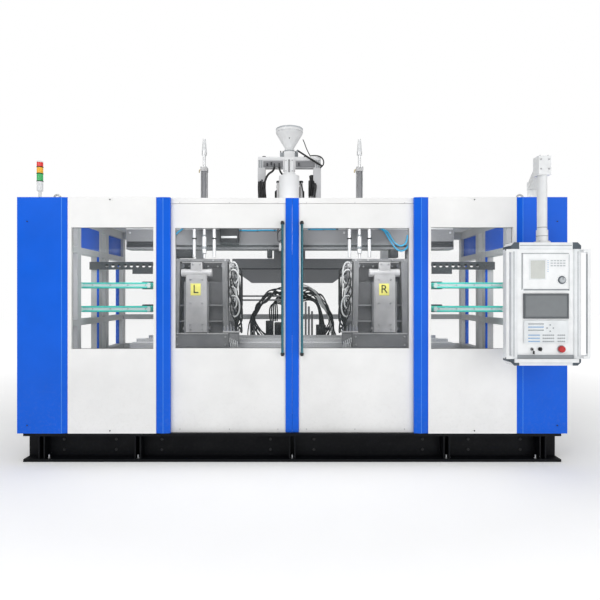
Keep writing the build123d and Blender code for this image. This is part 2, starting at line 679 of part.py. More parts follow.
for name, side in (("left", -1), ("right", 1)):
    with BuildPart() as door:
        window = (side * DOOR_WINDOW[0], side * DOOR_WINDOW[1])
        pan(
            (side * DOOR_INNER, side * DOOR_OUTER),
            (DOOR_BOTTOM, DOOR_TOP),
            DOOR_FRONT,
            (window, (WINDOW_BOTTOM, WINDOW_TOP)),
        )
        for place in (DOOR_INNER + TRUCK_INSET, DOOR_OUTER - TRUCK_INSET):
            truck = (side * place - TRUCK_LENGTH / 2, side * place + TRUCK_LENGTH / 2)
            block(truck, TRUCK_Y, (TRUCK_BOTTOM, TRUCK_BOTTOM + TRUCK_HEIGHT))
            hanger = (DOOR_MIDDLE - HANGER_WIDTH / 2, DOOR_MIDDLE + HANGER_WIDTH / 2)
            block(truck, hanger, (DOOR_TOP - SHEET, TRUCK_BOTTOM))
    keep(door, f"door_{name}")

    with BuildPart() as door_pane:
        pane_y = (DOOR_BACK - PANE, DOOR_BACK)
        block(window, pane_y, (WINDOW_BOTTOM, WINDOW_TOP))
    keep(door_pane, f"door_pane_{name}")

    with BuildPart() as door_edge:
        with BuildSketch(Plane.XY.offset(EDGE_BOTTOM)):
            with BuildLine():
                Polyline(
                    (side * DOOR_MEETING_GAP / 2, DOOR_FRONT - CREASE_DEPTH),
                    (side * DOOR_INNER, DOOR_FRONT),
                    (side * DOOR_INNER, DOOR_BACK),
                    (side * DOOR_MEETING_GAP / 2, DOOR_BACK),
                    close=True,
                )
            make_face()
        extrude(amount=DOOR_TOP - EDGE_BOTTOM)
        opening = (side * (DOOR_MEETING_GAP / 2 + SHEET), side * (DOOR_INNER - SHEET))
        hollow = (DOOR_FRONT + SHEET, DOOR_BACK - SHEET)
        block(opening, hollow, (EDGE_BOTTOM, DOOR_TOP), mode=Mode.SUBTRACT)
    keep(door_edge, f"door_edge_{name}")

    with BuildPart() as door_handle:
        grip_y = DOOR_FRONT - HANDLE_STAND
        ends = (HANDLE_BOTTOM + HANDLE_RADIUS, HANDLE_TOP - HANDLE_RADIUS)
        with BuildLine():
            FilletPolyline(
                (side * HANDLE_X, DOOR_FRONT, ends[0]),
                (side * HANDLE_X, grip_y, ends[0]),
                (side * HANDLE_X, grip_y, ends[1]),
                (side * HANDLE_X, DOOR_FRONT, ends[1]),
                radius=1.5 * HANDLE_RADIUS,
            )
        start = Plane((side * HANDLE_X, DOOR_FRONT, ends[0]), (1, 0, 0), (0, -1, 0))
        with BuildSketch(start):
            Circle(HANDLE_RADIUS)
        sweep()
    keep(door_handle, f"door_handle_{name}")

# Machine bed: two box beams on six legs, and the rails that the carriages run on
RAIL_LINES = (FRONT_RAIL_Y, REAR_RAIL_Y)
BEAM_BOTTOM = BED_TOP - BED_BEAM_HEIGHT

with BuildPart() as bed:
    for line in RAIL_LINES:
        wide = (line - BED_BEAM_WIDTH / 2, line + BED_BEAM_WIDTH / 2)
        tube((-BED_HALF_LENGTH, BED_HALF_LENGTH), wide, (BEAM_BOTTOM, BED_TOP), along=0)
        for place in (-CROSS_BEAM_X, 0, CROSS_BEAM_X):
            x = (place - BED_BEAM_WIDTH / 2, place + BED_BEAM_WIDTH / 2)
            tube(x, wide, (BASE_HEIGHT, BEAM_BOTTOM), along=2)
keep(bed, "bed")

with BuildPart() as bed_rails:
    for line in RAIL_LINES:
        section = Plane((RAIL_INSET - BED_HALF_LENGTH, line, BED_TOP), (0, 1, 0), (1, 0, 0))
        with BuildSketch(section):
            with Locations((0, RAIL_HEIGHT / 2)):
                Rectangle(RAIL_WIDTH, RAIL_HEIGHT)
            with Locations((-RAIL_WIDTH / 2, RAIL_HEIGHT / 2), (RAIL_WIDTH / 2, RAIL_HEIGHT / 2)):
                Rectangle(RAIL_HEIGHT / 4, RAIL_HEIGHT / 4, mode=Mode.SUBTRACT)
        extrude(amount=2 * (BED_HALF_LENGTH - RAIL_INSET))
keep(bed_rails, "bed_rails")

# Clamp stations: a carriage on the bed, the frame and lever at its front, the yoke at its back,
# four tie bars between them and two platens that close on the parting plane
LEVER_Y = (CLAMP_FRONT, CLAMP_FRONT + LEVER_DEPTH)
LEVER_MIDDLE = (LEVER_Y[0] + LEVER_Y[1]) / 2
LEVER_BOTTOM = BLOCK_TOP + LEVER_FOOT_GAP
LEVER_TOP = COLUMN_TOP - LEVER_CLEARANCE
RIB_X = LEVER_WIDTH / 2 + LEVER_CLEARANCE
RIB_TOP = LEVER_COLUMN_TOP - RIB_BELOW_CLEVIS
CYLINDER_Z = (TIE_BAR_Z[0] + TIE_BAR_Z[1]) / 2


def clamp_frame_shape(centre, lever):
    """The front frame of a station, with its ribs and pivot pin about the lever's middle."""
    half = CLAMP_WIDTH / 2
    block((centre - half, centre + half), (CLAMP_FRONT, CLAMP_BACK), (CLAMP_BOTTOM, BLOCK_TOP))
    block((centre - half, centre + half), (CLAMP_FRONT, CLAMP_BACK), (COLUMN_TOP, CLAMP_TOP))
    for side in (-1, 1):
        with BuildSketch(Plane.XZ.offset(-CLAMP_BACK), mode=Mode.PRIVATE) as column:
            with BuildLine():
                Polyline(
                    (centre + side * half, BLOCK_TOP),
                    (centre + side * (half - COLUMN_SPLAY), COLUMN_TOP),
                    (centre + side * (half - COLUMN_SPLAY - COLUMN_WIDTH), COLUMN_TOP),
                    (centre + side * (half - COLUMN_WIDTH), BLOCK_TOP),
                    close=True,
                )
            make_face()
        extrude(column.sketch, CLAMP_THICK)
        rib = (lever + side * RIB_X, lever + side * (RIB_X + RIB_THICK))
        block(rib, (CLAMP_FRONT, CLAMP_BACK), (BLOCK_TOP, RIB_TOP))
        bay = (lever + side * RIB_X, centre + side * (half - COLUMN_WIDTH + COLUMN_SPLAY / 2))
        for rise in SHELF_RISES:
            shelf = (BLOCK_TOP + rise, BLOCK_TOP + rise + RIB_THICK)
            block(bay, (CLAMP_FRONT + 2 * RIB_THICK, CLAMP_BACK), shelf)
        block(bay, (CLAMP_BACK - RIB_THICK, CLAMP_BACK), (BLOCK_TOP, RIB_TOP))
        pin = (lever + side * RIB_X, lever + side * (RIB_X + 2 * RIB_THICK))
        across(pin, LEVER_MIDDLE, LEVER_PIVOT_Z, LEVER_PIN_RADIUS)
    wide = (lever - RIB_X, lever + RIB_X)
    across(wide, LEVER_MIDDLE, LEVER_PIVOT_Z, LEVER_PIN_RADIUS)


def platen_shape(centre, face, back):
    """A platen with tie bar holes and a pattern of mould bolt holes."""
    half = CLAMP_WIDTH / 2 - PLATEN_MARGIN
    block((centre - half, centre + half), (face, back), (BLOCK_TOP + PLATEN_MARGIN, COLUMN_TOP))
    for x in (-TIE_BAR_X, TIE_BAR_X):
        for height in TIE_BAR_Z:
            hole = TIE_BAR_RADIUS + RUNNING_CLEARANCE
            level(centre + x, (face, back), height, hole, mode=Mode.SUBTRACT)
    for x in (-MOULD_HOLE_X, 0, MOULD_HOLE_X):
        for rise in (-MOULD_HOLE_Z, 0, MOULD_HOLE_Z):
            hole_z = CYLINDER_Z + rise
            level(centre + x, (face, back), hole_z, MOULD_HOLE_RADIUS, mode=Mode.SUBTRACT)


for name, centre in CLAMP_CENTRES.items():
    inward = 1 if centre < 0 else -1
    half = CLAMP_WIDTH / 2
    lever_x = centre - inward * LEVER_OFFSET
    with BuildPart() as carriage:
        plate = (centre - half, centre + half)
        block(plate, (CLAMP_BACK, CLAMP_REAR), (CARRIAGE_BOTTOM, CARRIAGE_TOP))
        for line in RAIL_LINES:
            for end in (-1, 1):
                middle = centre + end * (half - RUNNER_LENGTH / 2)
                runner = (middle - RUNNER_LENGTH / 2, middle + RUNNER_LENGTH / 2)
                sides = (line - RUNNER_WIDTH / 2, line + RUNNER_WIDTH / 2)
                block(runner, sides, (BED_TOP + 2 * RUNNER_CLEARANCE, CARRIAGE_BOTTOM))
                rail = RAIL_WIDTH / 2 + RUNNER_CLEARANCE
                groove = (BED_TOP, RAIL_TOP + RUNNER_CLEARANCE)
                block(runner, (line - rail, line + rail), groove, mode=Mode.SUBTRACT)
    keep(carriage, f"carriage_{name}")

    with BuildPart() as clamp_frame:
        clamp_frame_shape(centre, lever_x)
    keep(clamp_frame, f"clamp_frame_{name}")

    with BuildPart() as clamp_lever:
        with BuildSketch(Plane.XZ.offset(-LEVER_Y[1])):
            clevis_z = LEVER_COLUMN_TOP + CLEVIS_HEIGHT / 2
            column = clevis_z - LEVER_BOTTOM
            with Locations((lever_x, LEVER_BOTTOM + column / 2)):
                Rectangle(LEVER_WIDTH, column)
            neck = LEVER_TOP - clevis_z
            with Locations((lever_x, LEVER_TOP - neck / 2)):
                Rectangle(NECK_WIDTH, neck)
        extrude(amount=LEVER_DEPTH)
        front_edges = clamp_lever.edges().filter_by(Axis.Z).group_by(Axis.Y)[0]
        chamfer(front_edges.sort_by(Edge.length)[-2:], LEVER_WIDTH / 9)
        clevis = (lever_x - CLEVIS_WIDTH / 2, lever_x + CLEVIS_WIDTH / 2)
        across(clevis, LEVER_MIDDLE, clevis_z, CLEVIS_HEIGHT / 2)
        for side in (-1, 1):
            recess = (lever_x + side * CLEVIS_WIDTH / 2, lever_x + side * (CLEVIS_WIDTH / 2 - CLEVIS_WALL))
            across(recess, LEVER_MIDDLE, clevis_z, CLEVIS_HEIGHT / 2 - CLEVIS_WALL, mode=Mode.SUBTRACT)
        hole = LEVER_PIN_RADIUS + RUNNING_CLEARANCE
        wide = (lever_x - LEVER_WIDTH / 2, lever_x + LEVER_WIDTH / 2)
        across(wide, LEVER_MIDDLE, LEVER_PIVOT_Z, hole, mode=Mode.SUBTRACT)
    keep(clamp_lever, f"clamp_lever_{name}")

    with BuildPart() as tie_bars:
        for x in (-TIE_BAR_X, TIE_BAR_X):
            for height in TIE_BAR_Z:
                level(centre + x, (CLAMP_BACK, YOKE_FRONT), height, TIE_BAR_RADIUS)
    keep(tie_bars, f"tie_bars_{name}")

    cylinder_end = CLAMP_REAR + CYLINDER_LENGTH
    with BuildPart() as rear_yoke:
        block((centre - half, centre + half), (YOKE_FRONT, CLAMP_REAR), (CARRIAGE_TOP, CLAMP_TOP))
        level(centre, (CLAMP_REAR, cylinder_end), CYLINDER_Z, CYLINDER_RADIUS)
        cap = CYLINDER_RADIUS + CYLINDER_CAP / 2
        cap_z = (CYLINDER_Z - cap, CYLINDER_Z + cap)
        for end in (CLAMP_REAR, cylinder_end - CYLINDER_CAP):
            block((centre - cap, centre + cap), (end, end + CYLINDER_CAP), cap_z)
        bore = CLAMP_ROD_RADIUS + RUNNING_CLEARANCE
        bored = (YOKE_FRONT, cylinder_end - CYLINDER_CAP / 2)
        level(centre, bored, CYLINDER_Z, bore, mode=Mode.SUBTRACT)
    keep(rear_yoke, f"rear_yoke_{name}")

    with BuildPart() as front_platen:
        face = PARTING_Y - PLATEN_OPEN
        platen_shape(centre, face, face - PLATEN_THICK)
    keep(front_platen, f"front_platen_{name}")

    with BuildPart() as rear_platen:
        face = PARTING_Y + PLATEN_OPEN
        platen_shape(centre, face, face + PLATEN_THICK)
        rod = (face + PLATEN_THICK, cylinder_end - CYLINDER_CAP)
        level(centre, rod, CYLINDER_Z, CLAMP_ROD_RADIUS)
    keep(rear_platen, f"rear_platen_{name}")

    near = centre + inward * half
    far = near + inward * MANIFOLD_WIDTH
    with BuildPart() as manifold:
        face = CLAMP_FRONT + MANIFOLD_SETBACK
        middle = (near + far) / 2
        block((near, far), (face, CLAMP_BACK), (MANIFOLD_BOTTOM, COLUMN_TOP))
        for number in range(FITTING_COUNT):
            height = MANIFOLD_BOTTOM + FITTING_START + number * FITTING_PITCH
            level(middle, (CLAMP_FRONT - FITTING_REACH, face), height, FITTING_RADIUS)
            nut = (middle - FITTING_NUT * 0.7, middle + FITTING_NUT * 0.7)
            nut_z = (height - FITTING_NUT, height + FITTING_NUT)
            block(nut, (face - FITTING_RADIUS, face), nut_z)
    keep(manifold, f"manifold_{name}")

    with BuildPart() as hoses:
        for number in (1, 2):
            depth = CLAMP_FRONT + number * HOSE_SPACING
            top = COLUMN_TOP - number * HOSE_INSET
            bottom = MANIFOLD_BOTTOM + number * HOSE_INSET
            out = far + inward * HOSE_REACH
            with BuildLine(mode=Mode.PRIVATE) as route:
                FilletPolyline(
                    (far, depth, top),
                    (out, depth, top),
                    (out, depth, bottom),
                    (far, depth, bottom),
                    radius=HOSE_BEND,
                )
            start = Plane((far, depth, top), z_dir=route.line % 0)
            with BuildSketch(start, mode=Mode.PRIVATE) as round_hose:
                Circle(HOSE_RADIUS)
            sweep(round_hose.sketch, path=route.line)
    keep(hoses, f"hoses_{name}")

# Carrier beam: a box beam above the stations, on two columns
with BuildPart() as carrier_beam:
    beam_y = (CARRIER_FRONT, CARRIER_FRONT + CARRIER_DEPTH)
    tube((CARRIER_LEFT, CARRIER_RIGHT), beam_y, (CARRIER_BOTTOM, CARRIER_TOP), along=0)
    flange = (CARRIER_BOTTOM - CARRIER_FLANGE, CARRIER_BOTTOM)
    block((CARRIER_LEFT, CARRIER_RIGHT), beam_y, flange)
    deep = (beam_y[1] - CARRIER_COLUMN + POST_WALL * 2, beam_y[1] + POST_WALL * 2)
    for place in (-CROSS_BEAM_X, CROSS_BEAM_X):
        x = (place - CARRIER_COLUMN / 2, place + CARRIER_COLUMN / 2)
        tube(x, deep, (BASE_HEIGHT, CARRIER_BOTTOM - CARRIER_FLANGE - JOINT_GAP), along=2)
keep(carrier_beam, "carrier_beam")

# Blow stations: a pneumatic cylinder on a bracket, and a pin that it pushes down between the platens
for name, centre in BLOW_CENTRES.items():
    plate_z = (CARRIER_TOP, CARRIER_TOP + BLOW_PLATE)
    with BuildPart() as blow_cylinder:
        wide = (centre - BLOW_PLATE_HALF, centre + BLOW_PLATE_HALF)
        reach = PARTING_Y - BLOW_CYLINDER_RADIUS * 2
        bush_z = (plate_z[0], plate_z[0] + BLOW_BUSH_HEIGHT)
        block(wide, (reach, CARRIER_FRONT + CARRIER_DEPTH), plate_z)
        upright(centre, PARTING_Y, (plate_z[1], BLOW_CYLINDER_TOP), BLOW_CYLINDER_RADIUS)
        cap = BLOW_CYLINDER_RADIUS + BLOW_CAP_RIM
        for low in (plate_z[1], BLOW_CYLINDER_TOP - BLOW_CAP):
            square = (centre - cap, centre + cap), (PARTING_Y - cap, PARTING_Y + cap)
            block(*square, (low, low + BLOW_CAP))
        through = (plate_z[0], BLOW_CYLINDER_TOP)
        bore = BLOW_PISTON_RADIUS + RUNNING_CLEARANCE
        upright(centre, PARTING_Y, through, bore, mode=Mode.SUBTRACT)
        for side in (-1, 1):
            rod_x = centre + side * BLOW_ROD_X
            upright(rod_x, PARTING_Y, bush_z, BLOW_ROD_RADIUS + BLOW_BUSH_WALL)
            hole = BLOW_ROD_RADIUS + RUNNING_CLEARANCE
            upright(rod_x, PARTING_Y, bush_z, hole, mode=Mode.SUBTRACT)
    keep(blow_cylinder, f"blow_cylinder_{name}")

    with BuildPart() as blow_pin:
        bracket_z = (BLOW_BRACKET_Z, BLOW_BRACKET_Z + BLOW_BRACKET_HEIGHT)
        end = BLOW_ROD_X + BLOW_BRACKET_END
        deep = (PARTING_Y - BLOW_BRACKET_DEPTH / 2, PARTING_Y + BLOW_BRACKET_DEPTH / 2)
        block((centre - end, centre + end), deep, bracket_z)
        upright(centre, PARTING_Y, (bracket_z[1], BLOW_ROD_TOP), BLOW_PISTON_RADIUS)
        collar = (BLOW_COLLAR_Z - BLOW_COLLAR_HEIGHT / 2, BLOW_COLLAR_Z + BLOW_COLLAR_HEIGHT / 2)
        upright(centre, PARTING_Y, collar, BLOW_PISTON_RADIUS + BLOW_COLLAR_WALL)
        for side in (-1, 1):
            rod_z = (bracket_z[0] - BLOW_ROD_DROP, plate_z[1] + BLOW_GUIDE_RISE)
            upright(centre + side * BLOW_ROD_X, PARTING_Y, rod_z, BLOW_ROD_RADIUS)
        with BuildSketch(Plane.XZ.offset(-PARTING_Y), mode=Mode.PRIVATE) as half_section:
            with BuildLine():
                Polyline(
                    (centre, BLOW_PIN_TIP),
                    (centre + BLOW_NOSE_RADIUS, BLOW_PIN_TIP),
                    (centre + BLOW_NOSE_RADIUS, BLOW_PIN_TIP + BLOW_NOSE),
                    (centre + BLOW_PIN_RADIUS, BLOW_PIN_TIP + BLOW_NOSE + BLOW_NOSE_TAPER),
                    (centre + BLOW_PIN_RADIUS, BLOW_PIN_TIP + BLOW_PIN_BODY),
                    (centre + BLOW_PISTON_RADIUS, BLOW_PIN_TIP + BLOW_PIN_BODY),
                    (centre + BLOW_PISTON_RADIUS, BLOW_BRACKET_Z),
                    (centre, BLOW_BRACKET_Z),
                    close=True,
                )
            make_face()
        revolve(half_section.sketch, Axis((centre, PARTING_Y, 0), (0, 0, 1)))
    keep(blow_pin, f"blow_pin_{name}")

# Extruder platform: column, truss and beam, a pedestal and the deck that carries the extruder
with BuildPart() as extruder_platform:
    depth = (PLATFORM_Y - PLATFORM_DEPTH / 2, PLATFORM_Y + PLATFORM_DEPTH / 2)
    column = (-PLATFORM_COLUMN / 2, PLATFORM_COLUMN / 2)
    tube(column, depth, (BASE_HEIGHT, TRUSS_BOTTOM - JOINT_GAP), along=2)
    with BuildSketch(Plane.XZ.offset(-depth[1])):
        with BuildLine():
            Polyline(
                (-PLATFORM_HALF, PLATFORM_BOTTOM),
                (-TRUSS_HALF, TRUSS_BOTTOM),
                (TRUSS_HALF, TRUSS_BOTTOM),
                (PLATFORM_HALF, PLATFORM_BOTTOM),
                close=True,
            )
        make_face()
    extrude(amount=PLATFORM_DEPTH)
    block((-PLATFORM_HALF, PLATFORM_HALF), depth, (PLATFORM_BOTTOM, PLATFORM_TOP))
    pedestal = (EXTRUDER_X - 2 * PLATFORM_DEPTH, EXTRUDER_X + 2 * PLATFORM_DEPTH)
    tube(pedestal, depth, (PLATFORM_TOP + JOINT_GAP, DECK_Z - JOINT_GAP), along=2)
    deck_x = (EXTRUDER_X - DECK_HALF, EXTRUDER_X + DECK_HALF)
    beam_y = (CARRIER_FRONT, CARRIER_FRONT + CARRIER_DEPTH)
    block(deck_x, (beam_y[0] - DECK_OVERHANG, DECK_REAR), (DECK_Z, DECK_TOP))
    for side in (-1, 1):
        pad = sorted((EXTRUDER_X + side * DECK_HALF, EXTRUDER_X + side * (DECK_HALF - POST)))
        tube(pad, beam_y, (CARRIER_TOP, DECK_Z - JOINT_GAP), along=2)
        block(pad, (REAR_INNER, DECK_REAR), (CABINET_TOP, DECK_Z - JOINT_GAP))
keep(extruder_platform, "extruder_platform")

# Extruder: heated barrel, screw, drive and die head
DRIVE_BACK = GEARBOX_FRONT + GEARBOX_LENGTH
SCREW_END = GEARBOX_FRONT + GEARBOX_LENGTH / 2

with BuildPart() as extruder_barrel:
    level(EXTRUDER_X, (BARREL_FRONT, GEARBOX_FRONT), EXTRUDER_Z, BARREL_RADIUS)
    heater_pitch = HEATER_LENGTH + HEATER_GAP
    heaters = int((FEED_Y - FEED_BLOCK / 2 - BARREL_FRONT - HEATER_START) // heater_pitch)
    for number in range(heaters):
        start = BARREL_FRONT + HEATER_START + number * heater_pitch
        level(EXTRUDER_X, (start, start + HEATER_LENGTH), EXTRUDER_Z, HEATER_RADIUS)
    feed_x = (EXTRUDER_X - FEED_BLOCK / 2, EXTRUDER_X + FEED_BLOCK / 2)
    feed_y = (FEED_Y - FEED_BLOCK / 2, FEED_Y + FEED_BLOCK / 2)
    block(feed_x, feed_y, (DECK_TOP, FEED_TOP))
    bore = SCREW_RADIUS + RUNNING_CLEARANCE
    level(EXTRUDER_X, (BARREL_FRONT, GEARBOX_FRONT), EXTRUDER_Z, bore, mode=Mode.SUBTRACT)
keep(extruder_barrel, "extruder_barrel")

with BuildPart() as extruder_screw:
    root_start = BARREL_FRONT + 1.5 * SCREW_TIP
    level(EXTRUDER_X, (root_start, SCREW_END), EXTRUDER_Z, SCREW_ROOT_RADIUS)
    with Locations((EXTRUDER_X, BARREL_FRONT + SCREW_TIP, EXTRUDER_Z)):
        Cone(SCREW_ROOT_RADIUS, SCREW_TIP / 10, SCREW_TIP, rotation=(90, 0, 0))
    turn = BARREL_FRONT + 2 * SCREW_TIP
    while turn < GEARBOX_FRONT - SCREW_TIP:
        level(EXTRUDER_X, (turn, turn + FLIGHT), EXTRUDER_Z, SCREW_RADIUS)
        turn += 2 * SCREW_RADIUS
keep(extruder_screw, "extruder_screw")

with BuildPart() as extruder_drive:
    wide = (EXTRUDER_X - DRIVE_HALF, EXTRUDER_X + DRIVE_HALF)
    block(wide, (GEARBOX_FRONT, DRIVE_BACK), (DECK_TOP, EXTRUDER_Z + DRIVE_HALF))
    chamfer(extruder_drive.edges().filter_by(Axis.Y).group_by(Axis.Z)[-1], DRIVE_CHAMFER)
    motor = (DRIVE_BACK, DRIVE_BACK + MOTOR_LENGTH)
    level(EXTRUDER_X, motor, EXTRUDER_Z - MOTOR_DROP, MOTOR_RADIUS)
    socket = SCREW_ROOT_RADIUS + RUNNING_CLEARANCE
    level(EXTRUDER_X, (GEARBOX_FRONT, SCREW_END), EXTRUDER_Z, socket, mode=Mode.SUBTRACT)
keep(extruder_drive, "extruder_drive")

with BuildPart() as die_head:
    top = EXTRUDER_Z + HEAD_RADIUS
    heights = [DIE_BOTTOM, DIE_BOTTOM + DIE_LIP, DIE_BOTTOM + DIE_LIP + DIE_RING]
    heights += [EXTRUDER_Z - 2 * HEAD_RADIUS, top, top + HEAD_CAP, top + HEAD_CAP + PARISON_CYLINDER]
    widths = [DIE_LIP_RADIUS, HEAD_RADIUS, HEAD_NECK_RADIUS, HEAD_RADIUS, HEAD_CAP_RADIUS]
    widths += [PARISON_RADIUS]
    for low, high, radius in zip(heights, heights[1:], widths):
        upright(EXTRUDER_X, PARTING_Y, (low, high), radius)
    level(EXTRUDER_X, (PARTING_Y, BARREL_FRONT), EXTRUDER_Z, BARREL_RADIUS)
    channel = (BARREL_FRONT - BARREL_RADIUS, BARREL_FRONT)
    level(EXTRUDER_X, channel, EXTRUDER_Z, MELT_CHANNEL_RADIUS, mode=Mode.SUBTRACT)
keep(die_head, "die_head")

# Hopper: rim, cone and feeder above the feed block
with BuildPart() as hopper:
    with BuildSketch(Plane.XZ.offset(-FEED_Y)):
        with BuildLine():
            Polyline(
                (EXTRUDER_X + HOPPER_MOUTH + HOPPER_WALL, HOPPER_CONE_BOTTOM),
                (EXTRUDER_X + HOPPER_RADIUS, HOPPER_TOP - HOPPER_RIM),
                (EXTRUDER_X + HOPPER_RADIUS, HOPPER_TOP),
                (EXTRUDER_X + HOPPER_RADIUS - HOPPER_WALL, HOPPER_TOP),
                (EXTRUDER_X + HOPPER_RADIUS - HOPPER_WALL, HOPPER_TOP - HOPPER_RIM),
                (EXTRUDER_X + HOPPER_MOUTH, HOPPER_CONE_BOTTOM),
                close=True,
            )
        make_face()
    revolve(axis=Axis((EXTRUDER_X, FEED_Y, 0), (0, 0, 1)))
    upright(EXTRUDER_X, FEED_Y, (FEEDER_TOP, HOPPER_CONE_BOTTOM), HOPPER_FLANGE_RADIUS)
    feeder = FEEDER_WIDTH / 2
    feeder_x = (EXTRUDER_X - feeder, EXTRUDER_X + feeder)
    feeder_y = (FEED_Y - feeder, FEED_Y + feeder)
    block(feeder_x, feeder_y, (FEEDER_BOTTOM, FEEDER_TOP))
    upright(EXTRUDER_X, FEED_Y, (FEED_TOP, FEEDER_BOTTOM), FEED_BLOCK / 2)
keep(hopper, "hopper")

# Feed bridge: a cross beam in front of the feeder on two legs that stand on the deck
with BuildPart() as feed_bridge:
    bridge_y = (FEED_Y - feeder - BRIDGE_LEG, FEED_Y - feeder)
    bridge_x = (EXTRUDER_X - BRIDGE_HALF, EXTRUDER_X + BRIDGE_HALF)
    block(bridge_x, bridge_y, (BRIDGE_BOTTOM, BRIDGE_TOP))
    for end in (bridge_x[0], bridge_x[1] - BRIDGE_LEG):
        leg = [end, end + BRIDGE_LEG]
        tube(leg, bridge_y, (DECK_TOP, BRIDGE_BOTTOM), along=2)
keep(feed_bridge, "feed_bridge")

# Conveyors: two belts on each side that carry the bottles out through the end walls
BELT_FRONT = SIDE_BAYS[DELIVERY_BAY][0] + CONVEYOR_STAND
BELT_Y = (BELT_FRONT, BELT_FRONT + CONVEYOR_WIDTH)
CONVEYOR_Z = [END_RAIL_LOW + END_RAIL_HEIGHT + rise for rise in CONVEYOR_RISES]
CONVEYOR_OUTER_X = HALF - CONVEYOR_INSET
CONVEYOR_INNER_X = CONVEYOR_OUTER_X - CONVEYOR_LENGTH
ROLLER_RADIUS = CONVEYOR_HEIGHT / 2 - BELT

with BuildPart() as conveyor_frames:
    for side in (-1, 1):
        roller_x = (CONVEYOR_INNER_X + CONVEYOR_HEIGHT / 2, CONVEYOR_OUTER_X - CONVEYOR_HEIGHT / 2)
        for height in CONVEYOR_Z:
            middle = height + CONVEYOR_HEIGHT / 2
            for edge in (BELT_Y[0], BELT_Y[1] - CONVEYOR_SIDE):
                side_z = (height + BELT * 2, height + CONVEYOR_HEIGHT - BELT * 2)
                x = (side * (CONVEYOR_INNER_X + BELT), side * (CONVEYOR_OUTER_X - BELT))
                block(x, (edge, edge + CONVEYOR_SIDE), side_z)
            for end in roller_x:
                level(side * end, BELT_Y, middle, ROLLER_RADIUS / 3)
                inner = (BELT_Y[0] + CONVEYOR_SIDE * 2, BELT_Y[1] - CONVEYOR_SIDE * 2)
                level(side * end, inner, middle, ROLLER_RADIUS)
            reach = (SIDE_BAYS[DELIVERY_BAY][0], BELT_Y[0])
            x = (side * POST_INNER, side * (POST_INNER + POST / 2))
            block(x, reach, (height + BELT * 3, height + CONVEYOR_HEIGHT - BELT * 3))
keep(conveyor_frames, "conveyor_frames")

with BuildPart() as conveyor_belts:
    for side in (-1, 1):
        for height in CONVEYOR_Z:
            middle = height + CONVEYOR_HEIGHT / 2
            inner = (BELT_Y[0] + CONVEYOR_SIDE * 2, BELT_Y[1] - CONVEYOR_SIDE * 2)
            with BuildSketch(Plane.XZ.offset(-inner[1])):
                with Locations((side * (CONVEYOR_OUTER_X + CONVEYOR_INNER_X) / 2, middle)):
                    SlotOverall(CONVEYOR_LENGTH, CONVEYOR_HEIGHT)
                    hollow = 2 * (ROLLER_RADIUS + BELT_CLEARANCE)
                    inside = CONVEYOR_LENGTH - CONVEYOR_HEIGHT + hollow
                    SlotOverall(inside, hollow, mode=Mode.SUBTRACT)
            extrude(amount=inner[1] - inner[0])
keep(conveyor_belts, "conveyor_belts")

# Cable trays: perforated strips with a deeper inner half, fixed to the end wall posts
TRAY_Y = SIDE_BAYS[DELIVERY_BAY][1] - TRAY_STAND
TRAY_TOP = END_RAIL_HIGH - TRAY_DROP
TRAY_BOTTOM = TRAY_TOP - TRAY_HEIGHT

with BuildPart() as cable_trays:
    tray_post = SIDE_BAYS[DELIVERY_BAY][1]
    for side in (-1, 1):
        x = (side * TRAY_INNER_X, side * POST_OUTER)
        block(x, (TRAY_Y, TRAY_Y + SHEET), (TRAY_BOTTOM, TRAY_TOP))
        lower = (side * TRAY_INNER_X, side * (TRAY_INNER_X + TRAY_DEEP_LENGTH))
        block(lower, (TRAY_Y, TRAY_Y + SHEET), (TRAY_BOTTOM - TRAY_DEEP_DROP, TRAY_BOTTOM))
        for lip in (TRAY_BOTTOM, TRAY_TOP - SHEET):
            block(x, (TRAY_Y, TRAY_Y + TRAY_LIP), (lip, lip + SHEET))
        holes = int((POST_INNER - TRAY_INNER_X) // TRAY_HOLE_PITCH)
        for number in range(holes):
            place = side * (TRAY_INNER_X + TRAY_HOLE_PITCH * (number + 0.5))
            height = (TRAY_BOTTOM + TRAY_TOP) / 2
            level(place, (TRAY_Y, TRAY_Y + SHEET), height, TRAY_HOLE_RADIUS, mode=Mode.SUBTRACT)
        tab = (side * POST_INNER, side * POST_OUTER)
        block(tab, (TRAY_Y + SHEET, tray_post), (TRAY_BOTTOM, TRAY_TOP))
keep(cable_trays, "cable_trays")

# Pendant arm: a column on the cabinet top, a swinging arm and the elbow that the hanger turns in
ARM_VECTOR = (HANGER_AXIS[0] - ARM_JOINT[0], HANGER_AXIS[1] - ARM_JOINT[1])
ARM_LENGTH = hypot(*ARM_VECTOR)
ARM_ANGLE = degrees(atan2(ARM_VECTOR[1], ARM_VECTOR[0]))

with BuildPart() as arm_column:
    foot_top = CABINET_TOP + ARM_FOOT
    upright(*ARM_JOINT, (CABINET_TOP, foot_top), ARM_COLUMN_RADIUS + ARM_FOOT_RIM)
    upright(*ARM_JOINT, (foot_top, ARM_BOTTOM - JOINT_GAP), ARM_COLUMN_RADIUS)
    upright(*ARM_JOINT, (ARM_BOTTOM - JOINT_GAP, ARM_BOTTOM), JOURNAL_RADIUS)
    upright(*ARM_JOINT, (ARM_BOTTOM, ARM_TOP), JOURNAL_RADIUS)
keep(arm_column, "arm_column")

